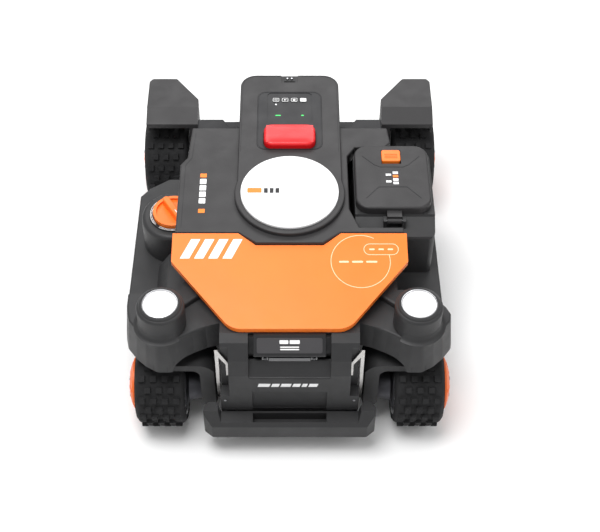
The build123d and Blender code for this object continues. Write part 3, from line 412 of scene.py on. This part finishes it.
# ---- wheels ---------------------------------------------------------------------------------
RIB_STEPS = 72
RIB_INSETS = (17, 13)  # how far inside the tyre's radius the sidewall rings lie, in mm
RIB_FOOT = 0.9  # half widths and height of a rib's section, in mm
RIB_CREST = 0.4
RIB_HEIGHT = 0.8
SPOKES = 5
SPOKE_LINE = ((20.5, -0.2), (27.0, -1.6), (34.0, -3.9))  # reach and drop from the cap's face, in mm
SPOKE_END_DROP = -6.0
SPOKE_FOOT = 3.4
SPOKE_CREST = 2.4
BOLT_CIRCLE = 24.5
CAP_CENTRE = (
    (0.0, 0.6), (6.0, 0.6), (7.2, 0.0), (9.5, 0.0), (10.2, 0.5), (19.0, 0.5), (20.0, -0.3),
)
BOLT_HEAD = ((3.4, -0.8), (3.4, 0.5), (2.9, 0.9), (1.7, 0.9), (1.5, 0.2), (0.0, 0.2))
RIM_LIP = ((-6.0, 0.0), (-6.0, 1.0), (-4.6, 1.8), (-1.4, 1.8), (-0.2, 1.0), (-0.2, 0.0))


def sized(profile, way=1, base=0.0):
    """A profile in mm as metres: base is added to its radii, and way turns its heights over."""
    return [(base + radius * MM, way * height * MM) for radius, height in profile]


def wheel_middle(end, side):
    low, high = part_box(f"{end}_tyre_{side}")
    return (low + high) / 2


def cap_face(end, side):
    """Middle of the hub cap's outer face."""
    low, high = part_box(f"{end}_hub_cap_{side}")
    middle = wheel_middle(end, side)
    return Vector((high.x if SIDES[side] > 0 else low.x, middle.y, middle.z))


def add_rib(shape, face, way, ring_radius, step):
    """One stretch of a raised ring on a tyre's sidewall."""
    corners = []
    for half_width, out in ((RIB_FOOT, 0.0), (RIB_CREST, RIB_HEIGHT)):
        for turn, reach in (
            (step, -half_width), (step + 1, -half_width), (step + 1, half_width), (step, half_width)
        ):
            angle = math.tau * turn / RIB_STEPS
            far = ring_radius + reach * MM
            corners.append(shape.verts.new((
                face.x + way * out * MM,
                face.y + far * math.cos(angle),
                face.z + far * math.sin(angle),
            )))
    for side in ((4, 5, 6, 7), (0, 1, 5, 4), (2, 3, 7, 6), (1, 2, 6, 5), (3, 0, 4, 7)):
        shape.faces.new([corners[index] for index in side])


def tyre_ribs(end, side):
    """Two raised rings on each sidewall, the inner one broken into dashes."""
    low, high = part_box(f"{end}_tyre_{side}")
    middle = wheel_middle(end, side)
    radius = (high.z - low.z) / 2
    sink = 0.1 * MM
    ribs = bmesh.new()
    for way in (-1, 1):
        face = Vector((middle.x + way * ((high.x - low.x) / 2 - sink), middle.y, middle.z))
        for inset in RIB_INSETS:
            for step in range(RIB_STEPS):
                if inset == RIB_INSETS[1] or step % 3:
                    add_rib(ribs, face, way, radius - inset * MM, step)
    bmesh.ops.remove_doubles(ribs, verts=ribs.verts, dist=1e-6)
    finish_piece(f"{end}_tyre_ribs_{side}", ribs, f"{end}_wheel_{side}", TYRE)


def cap_centre(end, side):
    lathe(
        f"{end}_cap_centre_{side}", f"{end}_wheel_{side}", ORANGE_DEEP, cap_face(end, side),
        sized(CAP_CENTRE, SIDES[side]), axis="X", steps=48,
    )


def cap_spokes(end, side):
    """Raised ridges that run from the middle of the cap to its edge."""
    way = SIDES[side]
    face = cap_face(end, side)
    low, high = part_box(f"{end}_hub_cap_{side}")
    edge = (high.z - low.z) / 2 / MM - 2.5
    spokes = bmesh.new()
    for spoke in range(SPOKES):
        angle = math.tau * spoke / SPOKES
        along = Vector((0, math.cos(angle), math.sin(angle)))
        across = Vector((0, -along.z, along.y))
        rows = []
        for reach, drop in (*SPOKE_LINE, (edge, SPOKE_END_DROP)):
            middle = face + Vector((way * drop * MM, 0, 0)) + along * reach * MM
            raised = Vector((way * MM, 0, 0))
            wide = across * (SPOKE_FOOT * MM)
            narrow = across * (SPOKE_CREST * MM)
            row = (middle - wide, middle - narrow + raised, middle + narrow + raised, middle + wide)
            rows.append([spokes.verts.new(point) for point in row])
        for here, there in zip(rows, rows[1:]):
            for index in range(3):
                spokes.faces.new((here[index], here[index + 1], there[index + 1], there[index]))
        spokes.faces.new(rows[0])
        spokes.faces.new(rows[-1])
    finish_piece(f"{end}_cap_spokes_{side}", spokes, f"{end}_wheel_{side}", ORANGE_DEEP)


def cap_bolts(end, side):
    way = SIDES[side]
    face = cap_face(end, side)
    sink = 0.6 * MM
    for bolt in range(SPOKES):
        angle = math.tau * (bolt + 0.5) / SPOKES
        away = Vector((0, math.cos(angle), math.sin(angle))) * BOLT_CIRCLE * MM
        lathe(
            f"{end}_cap_bolt_{side}_{bolt + 1}", f"{end}_wheel_{side}", STEEL,
            face + away - Vector((way * sink, 0, 0)), sized(BOLT_HEAD, way), axis="X", steps=20,
        )


def rim_lip(end, side):
    """Bright lip on the inboard edge of the rim."""
    way = SIDES[side]
    low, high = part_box(f"{end}_rim_{side}")
    middle = wheel_middle(end, side)
    inboard = low.x if way > 0 else high.x
    lathe(
        f"{end}_rim_lip_{side}", f"{end}_wheel_{side}", RIM, (inboard, middle.y, middle.z),
        sized(RIM_LIP, -way, (high.z - low.z) / 2), axis="X",
    )


for wheel_end in ("front", "rear"):
    for wheel_side in SIDES:
        tyre_ribs(wheel_end, wheel_side)
        cap_centre(wheel_end, wheel_side)
        cap_spokes(wheel_end, wheel_side)
        cap_bolts(wheel_end, wheel_side)
        rim_lip(wheel_end, wheel_side)


# ---- steering towers and guards --------------------------------------------------------------
CAP_SEAT = 4 * MM  # the tower's top is this far below the top of its cap
GUARD_TOP = 240 * MM
# Section of the bright ring that paints a highlight round the cap.
HIGHLIGHT_RING = ((26.8, 0.8), (26.9, 2.7), (27.5, 3.2), (28.4, 3.0), (28.8, 2.3), (28.8, 0.8))
COLLAR = (
    (28.9, -1.0), (28.9, 2.6), (29.4, 3.4), (30.4, 3.6), (31.8, 2.9), (33.4, 1.4), (34.4, -0.4),
    (34.4, -1.0),
)
FLARE = (
    (37.0, 14.0), (38.2, 14.0), (38.6, 8.0), (39.8, 4.2), (42.2, 1.6), (46.0, 0.2), (46.0, -0.4),
    (37.0, -0.4),
)
FLARE_TURN = 150
FLARE_START = {"left": -200, "right": -130}
NOTCH_X = (220, 197)


def dress_tower(side):
    """Ring and collar round the cap, the flare at the tower's foot and the guard's notches. The ring's
    bright silver is a painted highlight round the cap.
    """
    x, y = joints[f"steering_{side}"]["pos_m"][:2]
    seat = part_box("tower_caps")[1].z - CAP_SEAT
    for piece, material, profile in (
        ("tower_ring", SILVER_HIGHLIGHT, HIGHLIGHT_RING), ("tower_collar", GREY, COLLAR)
    ):
        lathe(f"{piece}_{side}", "chassis", material, (x, y, seat), sized(profile), steps=96)
    lathe(
        f"tower_flare_{side}", "chassis", GREY, (x, y, GUARD_TOP), sized(FLARE), steps=96,
        turn=math.radians(FLARE_TURN), start=math.radians(FLARE_START[side]),
    )
    # The guard's notches are dark fills of painted shade on the guard's front.
    notches = [
        rounded_box(1.3 * MM, 11 * MM, 0.6 * MM, (SIDES[side] * x * MM, 173.5 * MM)) for x in NOTCH_X
    ]
    mark(f"guard_notches_{side}", "chassis", SEAM_AND_SHADE_LINE, on_front(f"front_arm_{side}"), fills=notches)


for tower_side in SIDES:
    dress_tower(tower_side)


# ---- height dial -----------------------------------------------------------------------------
DIAL_ARCS = ((20, 100), (140, 80), (235, 110))  # start and turn, in degrees
DIAL_ARC_RADII = (37.1, 39.5)
DIAL_TICKS = 10
TICK_START = 150
TICK_PITCH = 24
TICK_REACH = (37.6, 39.0)
KNURLS = 36
KNURL_SECTION = ((34.2, -0.9), (35.0, -0.5), (35.0, 0.5), (34.2, 0.9))
KNURL_TOP = 18.6 * MM  # above the dial's lowest point
KNURL_HEIGHT = 5.0
GRIP_HEADING = math.radians(-58)
POINTER_REACH = (8, 24)


def dial_marks(x, y):
    """Broken circles and level ticks on the ring round the dial."""
    strokes = []
    for start, turn in DIAL_ARCS:
        for radius in DIAL_ARC_RADII:
            points = circle(radius * MM, (x, y), 40, math.radians(start), math.radians(turn))
            strokes.append((points, 0.7 * MM, False))
    for tick in range(DIAL_TICKS):
        angle = math.radians(TICK_START + TICK_PITCH * tick)
        reach = [
            (x + r * MM * math.cos(angle), y + r * MM * math.sin(angle)) for r in TICK_REACH
        ]
        strokes.append((reach, 0.6 * MM, False))
    mark("dial_marks", "chassis", WHITE_INK, flat_at(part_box("dial_ring")[1].z), strokes=strokes)


def dial_knurls(x, y):
    """Small ribs round the dial's edge."""
    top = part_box("height_dial")[0].z + KNURL_TOP
    knurls = bmesh.new()
    for step in range(KNURLS):
        turn = Matrix.Rotation(math.tau * step / KNURLS, 4, "Z")
        corners = [
            knurls.verts.new(Vector((x, y, top)) + turn @ Vector((r * MM, w * MM, h * MM)))
            for h in (-KNURL_HEIGHT, 0.0) for r, w in KNURL_SECTION
        ]
        for face in ((0, 1, 5, 4), (1, 2, 6, 5), (2, 3, 7, 6), (4, 5, 6, 7)):
            knurls.faces.new([corners[index] for index in face])
    finish_piece("dial_knurls", knurls, "height_dial", ORANGE)


def dial_pointer(x, y):
    along = Vector((math.cos(GRIP_HEADING), math.sin(GRIP_HEADING)))
    ends = [tuple(Vector((x, y)) + along * reach * MM) for reach in POINTER_REACH]
    mark("dial_pointer", "height_dial", WHITE_INK, on_top("height_dial"),
         strokes=[(ends, 1.6 * MM, False)])


dial_spot = joints["height_dial"]["pos_m"][:2]
dial_marks(*dial_spot)
dial_knurls(*dial_spot)
dial_pointer(*dial_spot)


# ---- control panel, keys and stop button ------------------------------------------------------
KEY_NAMES = ("power_key", "start_key", "home_key", "confirm_key")
HOUSE = ((-3, 0), (0, 2.6), (3, 0), (2, 0), (2, -2.4), (-2, -2.4), (-2, 0))
STATUS_DOT_DROP = 6.4 * MM
LIGHT_Y = 157 * MM


def key_icon(key, x, y):
    """Fills and strokes of the plain sign on a key."""
    if key == "power_key":
        arc = circle(2.2 * MM, (x, y - 0.2 * MM), 16, math.radians(120), math.radians(300))
        bar = [(x, y), (x, y + 2.6 * MM)]
        return [], [(arc, 0.6 * MM, False), (bar, 0.6 * MM, False)]
    if key == "start_key":
        arrow = [(x - 1.6 * MM, y - 2 * MM), (x + 2.2 * MM, y), (x - 1.6 * MM, y + 2 * MM)]
        return [arrow], []
    if key == "home_key":
        return [[(x + a * MM, y + b * MM) for a, b in HOUSE]], []
    return [rounded_box(9.4 * MM, 7.4 * MM, 1.3 * MM, (x, y))], []


def dress_key(key):
    low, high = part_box(key)
    x, y = (low.x + high.x) / 2, (low.y + high.y) / 2
    border = rounded_box(10.6 * MM, 8.6 * MM, 1.7 * MM, (x, y))
    fills, strokes = key_icon(key, x, y)
    strokes = [(border, 0.7 * MM, True)] + strokes
    mark(f"{key}_mark", key, WHITE_INK, flat_at(high.z), fills, strokes)
    if key == "confirm_key":
        tick = [(x - 2.2 * MM, y), (x - 0.5 * MM, y - 1.7 * MM), (x + 2.4 * MM, y + 1.8 * MM)]
        mark("confirm_tick", key, BLACK, flat_at(high.z + INK), strokes=[(tick, 0.9 * MM, False)])


def border_outside(node_name, margin, radius):
    """A round-cornered outline that much outside a node's box, seen from above."""
    low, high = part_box(node_name)
    middle = ((low.x + high.x) / 2, (low.y + high.y) / 2)
    width, depth = high.x - low.x + margin * MM, high.y - low.y + margin * MM
    return rounded_box(width, depth, radius * MM, middle, 12)


def dress_panel():
    """Status lights and the thin lines round the panel and the stop button."""
    place = on_top("control_panel")
    low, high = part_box("power_key")
    spot = ((low.x + high.x) / 2, low.y - STATUS_DOT_DROP)
    mark("status_dot", "chassis", WHITE_INK, place, fills=[circle(1.7 * MM, spot, 24)])
    mark("battery_light", "chassis", GREEN, place,
         fills=[rounded_box(9.5 * MM, 2.2 * MM, 1 * MM, (-20.6 * MM, LIGHT_Y))])
    mark("link_light", "chassis", GREEN, place,
         fills=[rounded_box(4.4 * MM, 2.6 * MM, 1.2 * MM, (23 * MM, LIGHT_Y))])
    panel_line = border_outside("control_panel", -3, 14)
    mark("panel_edge", "chassis", SEAM_AND_SHADE_LINE, place, strokes=[(panel_line, 0.8 * MM, True)])
    stop_line = border_outside("stop_button", 5, 17)
    panel_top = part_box("control_panel")[1].z
    mark("stop_well_edge", "chassis", BLACK, flat_at(panel_top), strokes=[(stop_line, 1.2 * MM, True)])


def stop_crown():
    """Soft crown across the stop button, where a palm presses."""
    low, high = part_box("stop_button")
    middle = (low + high) / 2
    width, depth = 82 * MM, 42 * MM
    rise, sink = 1.2 * MM, 0.1 * MM
    columns, rows = 24, 8
    crown = bmesh.new()
    grid = []
    for row in range(rows + 1):
        line = []
        for column in range(columns + 1):
            a, b = column / columns * 2 - 1, row / rows * 2 - 1
            height = rise * (1 - a ** 6) * (1 - b ** 4) - sink
            spot = (middle.x + a * width / 2, middle.y + b * depth / 2, high.z + height)
            line.append(crown.verts.new(spot))
        grid.append(line)
    for here, there in zip(grid, grid[1:]):
        for column in range(columns):
            crown.faces.new((here[column], here[column + 1], there[column + 1], there[column]))
    finish_piece("stop_crown", crown, "stop_button", RED)


for key_name in KEY_NAMES:
    dress_key(key_name)
dress_panel()
stop_crown()


# ---- printed marks on the covers, with plain bars in place of lettering -------------------------
COVER_MARK_X = -147
HOOD_STRIPES_X = (-178, -155, -132, -109)
HOOD_RING = (115, -167)
HOOD_RING_RADIUS = 48
HOOD_PILL = (149, -145)
PILL_BARS_X = (134, 149, 164)
RING_BARS = ((88, 16), (110, 18), (133, 18))  # middle and width
LID_MARK_Y = 3 * MM
GROOVE = 1.3 * MM


def dress_antenna():
    place = on_top("antenna_disc")
    mark("antenna_tag", "chassis", ORANGE_INK, place,
         fills=[rounded_box(24 * MM, 11 * MM, 1.5 * MM, (-59 * MM, -31 * MM))])
    bars = [slanted_bar((-43 + 9.6 * n) * MM, -37 * MM, 6.4 * MM, 11 * MM, 0) for n in range(3)]
    mark("antenna_bars", "chassis", BLACK, place, fills=bars)


def dress_cover():
    place = on_top("top_cover")
    x = COVER_MARK_X * MM
    ends = [rounded_box(11 * MM, 9 * MM, 1 * MM, (x, y * MM)) for y in (15, -67)]
    mark("cover_tags", "chassis", ORANGE_INK, place, fills=ends)
    bars = [rounded_box(11 * MM, 12 * MM, 1 * MM, (x, y * MM)) for y in (1, -14, -29, -44)]
    mark("cover_bars", "chassis", WHITE_INK, place, fills=bars)


def dress_hood():
    place = on_top("orange_hood")
    stripes = [slanted_bar(x * MM, -162 * MM, 15 * MM, 36 * MM, 17 * MM) for x in HOOD_STRIPES_X]
    mark("hood_stripes", "chassis", WHITE_INK, place, fills=stripes)
    ring_centre = (HOOD_RING[0] * MM, HOOD_RING[1] * MM)
    gap_end, arc_turn = math.radians(62), math.radians(312)
    ring = circle(HOOD_RING_RADIUS * MM, ring_centre, 90, gap_end, arc_turn)
    pill_centre = (HOOD_PILL[0] * MM, HOOD_PILL[1] * MM)
    pill = rounded_box(56 * MM, 20 * MM, 9.8 * MM, pill_centre, 10)
    line = 1.1 * MM
    mark("hood_ring", "chassis", PALE_INK, place,
         strokes=[(ring, line, False), (pill, line, True)])
    bars = [rounded_box(9 * MM, 3 * MM, 1.4 * MM, (x * MM, pill_centre[1])) for x in PILL_BARS_X]
    bars += [
        rounded_box(width * MM, 3.4 * MM, 1.6 * MM, (x * MM, -168 * MM)) for x, width in RING_BARS
    ]
    mark("hood_bars", "chassis", PALE_INK, place, fills=bars)


def lid_grooves(x0, y0):
    """Two trapezoid grooves with legs that run out to the lid's corners, drawn as dark lines of
    painted shade.
    """
    grooves = []
    for way in (-1, 1):
        upper = [(x0 + way * a * MM, y0 + b * MM) for a, b in ((49, 51), (30, 31), (20, 25))]
        lower = [(x0 + way * a * MM, y0 + b * MM) for a, b in ((46, -48), (24, -22))]
        grooves += [(upper, GROOVE, False), (lower, GROOVE, False)]
    for half, b in ((20, 25), (24, -22)):
        level = y0 + b * MM
        grooves.append(([(x0 - half * MM, level), (x0 + half * MM, level)], GROOVE, False))
    return grooves


def dress_lid():
    place = on_top("battery_lid")
    low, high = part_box("battery_lid")
    x0, y0 = (low.x + high.x) / 2, LID_MARK_Y
    # The lid's grooves are flat dark lines of painted shade.
    mark("lid_grooves", "battery_lid", SEAM_AND_SHADE_LINE, place, strokes=lid_grooves(x0, y0))
    right, left = x0 + 1 * MM, x0 - 11 * MM
    white = [slanted_bar(right, y0 + y * MM, 9 * MM, 5.5 * MM, 0) for y in (-16, -8, 8)]
    white += [slanted_bar(left, y0 + y * MM, 9 * MM, 4.5 * MM, 0) for y in (-12, 4)]
    mark("lid_bars", "battery_lid", WHITE_INK, place, fills=white)
    mark("lid_tag", "battery_lid", ORANGE_INK, place,
         fills=[slanted_bar(right, y0, 9 * MM, 5.5 * MM, 0)])
    latch_low, latch_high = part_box("lid_latch")
    ribs = [
        rounded_box(22 * MM, 1.6 * MM, 0.7 * MM, (x0, latch_low.y + y * MM)) for y in (8, 12, 16)
    ]
    mark("latch_ribs", "lid_latch", ORANGE_DEEP, flat_at(latch_high.z, 0), fills=ribs,
         thickness=0.5 * MM)


dress_antenna()
dress_cover()
dress_hood()
dress_lid()


# ---- nose: camera recess, plain bars, screws ---------------------------------------------------
RECESS_X = 66
PLATE_THICK = 0.6 * MM
LENS_X = 39
LENS_STEPS = 24
LENS_SECTION = ((2.9, 0.0), (2.9, -0.7), (2.3, -1.1), (1.9, -0.6), (1.3, -1.0), (0.0, -1.3))
NOSE_BARS = ((-52, 19), (-30, 12), (-15, 16), (4, 12), (19, 8), (30, 14))  # left edge and width
NOSE_SCREW = (105.5, 116)


def camera_plate():
    """Label plate on the camera housing, with plain bars."""
    outline = rounded_box(104 * MM, 17.5 * MM, 3 * MM, (0, 234 * MM))
    mark("camera_plate", "chassis", PLATE, on_front("camera_housing"), fills=[outline],
         thickness=PLATE_THICK)
    bars = [
        rounded_box(width * MM, 4.2 * MM, 1 * MM, (x * MM, 238.5 * MM))
        for x, width in ((-9, 14), (8, 16))
    ]
    bars += [rounded_box(30 * MM, 1.3 * MM, 0.5 * MM, (0, z * MM)) for z in (232.6, 229.9)]
    above = on_front("camera_housing", lift=LIFT + PLATE_THICK + INK)
    mark("camera_plate_bars", "chassis", WHITE_INK, above, fills=bars)


def camera_lens(side):
    """Stepped lens that looks out of the camera window."""
    low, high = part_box("camera_window")
    spot = Vector((SIDES[side] * LENS_X * MM, low.y + 1.2 * MM, (low.z + high.z) / 2))
    lens = bmesh.new()
    rows = []
    for step in range(LENS_STEPS):
        angle = math.tau * step / LENS_STEPS
        rows.append([
            lens.verts.new(
                spot + Vector((r * MM * math.cos(angle), out * MM, r * MM * math.sin(angle)))
            )
            for r, out in LENS_SECTION
        ])
    for index, here in enumerate(rows):
        there = rows[(index + 1) % LENS_STEPS]
        for point in range(len(LENS_SECTION) - 1):
            lens.faces.new((here[point], here[point + 1], there[point + 1], there[point]))
    bmesh.ops.remove_doubles(lens, verts=lens.verts, dist=1e-6)
    finish_piece(f"camera_lens_{side}", lens, "chassis", GLASS)


def nose_marks():
    front = on_front("front_nose")
    bars = [slanted_bar(x * MM, 155 * MM, width * MM, 8.5 * MM, 2.5 * MM) for x, width in NOSE_BARS]
    mark("nose_bars", "chassis", WHITE_INK, front, fills=bars)
    # Dark line of painted shade under the lip of the camera recess.
    lip = [(-RECESS_X, 180), (4 - RECESS_X, 177), (RECESS_X - 4, 177), (RECESS_X, 180)]
    mark("recess_lip", "chassis", SEAM_AND_SHADE_LINE, front,
         strokes=[([(x * MM, z * MM) for x, z in lip], 0.9 * MM, False)])
    seam = [(-112 * MM, 94 * MM), (112 * MM, 94 * MM)]
    mark("nose_seam", "chassis", SEAM_AND_SHADE_LINE, front, strokes=[(seam, 1.0 * MM, False)])


def sunk_screw(name, hole_name, place, place_above, spot, hole_radius, head_radius, head_height):
    """A dark well of painted shade, drawn as a flat disc, with a six-sided screw head in it."""
    mark(hole_name, "chassis", BLACK, place, fills=[circle(hole_radius * MM, spot, 28)])
    mark(name, "chassis", STEEL, place_above, fills=[circle(head_radius * MM, spot, 6)],
         thickness=head_height * MM)


camera_plate()
for nose_side in SIDES:
    camera_lens(nose_side)
nose_marks()
for nose_side, nose_way in SIDES.items():
    sunk_screw(
        f"nose_screw_{nose_side}", f"nose_screw_hole_{nose_side}", on_front("front_nose"),
        on_front("front_nose", LIFT + INK), (nose_way * NOSE_SCREW[0] * MM, NOSE_SCREW[1] * MM),
        3.0, 2.1, 0.5,
    )


# ---- seams and small parts on the body ----------------------------------------------------------
SKIRT_SEAM_Z = 18 * MM
SPINE_LINE = ((-85, 66), (-85, 238), (-82, 250), (-74, 258), (-62, 261), (-18, 261))
COVER_LINE = ((-179, -104), (-179, 40), (-169, 58), (-165, 120))
RAIN_PIN = ((1.9, -0.2), (1.9, 0.5), (1.5, 0.9), (0.0, 1.0))
TERMINALS_X = (-20, -7, 7, 20)


def side_seams(side):
    """Seams along the skirt and the rear fender."""
    way = SIDES[side]
    panel = {"left": "side_pod_left", "right": "side_panel_right"}[side]
    low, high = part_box(panel)
    seam_z = low.z + SKIRT_SEAM_Z
    seam = [(low.y + 52 * MM, seam_z), (high.y - 46 * MM, seam_z)]
    mark(f"skirt_seam_{side}", "chassis", SEAM_AND_SHADE_LINE, on_side(panel, way),
         strokes=[(seam, 1 * MM, False)])
    fender = f"rear_fender_{side}"
    low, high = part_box(fender)
    line = [(low.y + 6 * MM, low.z + 12 * MM), (high.y - 8 * MM, low.z + 12 * MM)]
    mark(f"fender_seam_{side}", "chassis", SEAM_AND_SHADE_LINE, on_side(fender, way),
         strokes=[(line, 0.9 * MM, False)])


def cover_lines():
    """Fine lines along the spine and along the cover's left edge."""
    place = on_top("top_cover")
    left = [(x * MM, y * MM) for x, y in SPINE_LINE]
    right = [(-x, y) for x, y in left]
    mark("spine_edge", "chassis", SEAM_AND_SHADE_LINE, place,
         strokes=[(left, 0.7 * MM, False), (right, 0.7 * MM, False)])
    edge = [(x * MM, y * MM) for x, y in COVER_LINE]
    mark("cover_edge_left", "chassis", SEAM_AND_SHADE_LINE, place, strokes=[(edge, 0.7 * MM, False)])


def rain_pins():
    low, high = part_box("rain_sensor")
    for side, way in SIDES.items():
        spot = (way * 4 * MM, (low.y + high.y) / 2, high.z)
        lathe(f"rain_pin_{side}", "chassis", STEEL, spot, sized(RAIN_PIN), steps=20)


def pack_terminals():
    low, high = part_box("battery_pack")
    x0, y0 = (low.x + high.x) / 2, (low.y + high.y) / 2
    slots = [rounded_box(3 * MM, 22 * MM, 1 * MM, (x0 + x * MM, y0)) for x in TERMINALS_X]
    mark("pack_terminals", "chassis", CONTACT, flat_at(high.z), fills=slots)


for body_side in SIDES:
    side_seams(body_side)
cover_lines()
rain_pins()
pack_terminals()


# ---- rear of the body ---------------------------------------------------------------------------
VENT_COLUMNS = (-84, -42, 0, 42, 84)
VENT_ROWS = 3
VENT_PITCH = 7
REAR_SCREW_X = 128


def dress_back():
    """Vent slots drawn as black fills of painted shade, a seam and screws on the rear of the tub."""
    place = on_back("chassis_tub")
    low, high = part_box("chassis_tub")
    vent_z = low.z + 0.52 * (high.z - low.z)
    # The vent slots are not cut: their black fills paint the shade inside them.
    slots = [
        rounded_box(34 * MM, 3.2 * MM, 1.5 * MM, (x * MM, vent_z + row * VENT_PITCH * MM))
        for x in VENT_COLUMNS for row in range(VENT_ROWS)
    ]
    mark("rear_vents", "chassis", BLACK, place, fills=slots)
    seam_z = low.z + 0.3 * (high.z - low.z)
    seam = [(x * MM, seam_z) for x in range(-170, 171, 20)]
    mark("rear_seam", "chassis", SEAM_AND_SHADE_LINE, place, strokes=[(seam, 1 * MM, False)])
    for side, way in SIDES.items():
        sunk_screw(
            f"rear_screw_{side}", f"rear_screw_well_{side}", place,
            on_back("chassis_tub", LIFT + INK),
            (way * REAR_SCREW_X * MM, vent_z + VENT_PITCH * MM), 4.2, 2.8, 0.6,
        )


dress_back()


# ---- camera, light and floor --------------------------------------------------------------------
FLOOR_REACH = 14.0
CAMERA_PLACE = (0, -1.4217, 1.7639)
CAMERA_TILT = 40  # degrees from straight down
CAMERA_LENS = 72
CAMERA_SHIFT = 0.0173


def add_light(name, spot, target, size, power):
    data = bpy.data.lights.new(name, "AREA")
    data.shape = "RECTANGLE"
    data.size, data.size_y = size
    data.energy = power
    light = bpy.data.objects.new(name, data)
    bpy.context.scene.collection.objects.link(light)
    light.location = spot
    light.rotation_euler = (Vector(target) - Vector(spot)).to_track_quat("-Z", "Y").to_euler()


def add_floor():
    mesh = bpy.data.meshes.new("floor")
    corners = [
        (x * FLOOR_REACH, y * FLOOR_REACH, 0) for x, y in ((-1, -1), (1, -1), (1, 1), (-1, 1))
    ]
    mesh.from_pydata(corners, [], [(0, 1, 2, 3)])
    floor = bpy.data.objects.new("floor", mesh)
    bpy.context.scene.collection.objects.link(floor)
    material, tree, shader, where = new_material("pale_floor", Specular_IOR_Level=0.2)
    add_mottle(tree, shader, where, linear(247, 247, 247), 0.004, 3.0)
    add_roughness(tree, shader, where, 0.75, 0.85, 8.0)
    mesh.materials.append(material)


def add_world():
    world = bpy.data.worlds.new("studio")
    world.use_nodes = True
    background = world.node_tree.nodes["Background"]
    background.inputs["Color"].default_value = (1, 1, 1, 1)
    background.inputs["Strength"].default_value = 0.5
    bpy.context.scene.world = world


def add_camera():
    data = bpy.data.cameras.new("camera")
    data.lens = CAMERA_LENS
    data.sensor_width = 36
    data.shift_x = CAMERA_SHIFT
    camera = bpy.data.objects.new("camera", data)
    camera.location = CAMERA_PLACE
    camera.rotation_euler = (math.radians(CAMERA_TILT), 0, 0)
    bpy.context.scene.collection.objects.link(camera)
    bpy.context.scene.camera = camera


add_floor()
add_light("key", (-0.5, -0.3, 2.4), (0, 0, 0.15), (1.3, 1.3), 46)
add_light("fill", (1.7, -0.9, 1.9), (0, 0, 0.15), (1.6, 1.2), 12)
add_light("back", (0.1, 1.9, 1.8), (0, 0, 0.2), (2.2, 0.9), 26)
add_world()
add_camera()
bpy.context.scene.view_settings.view_transform = "Standard"
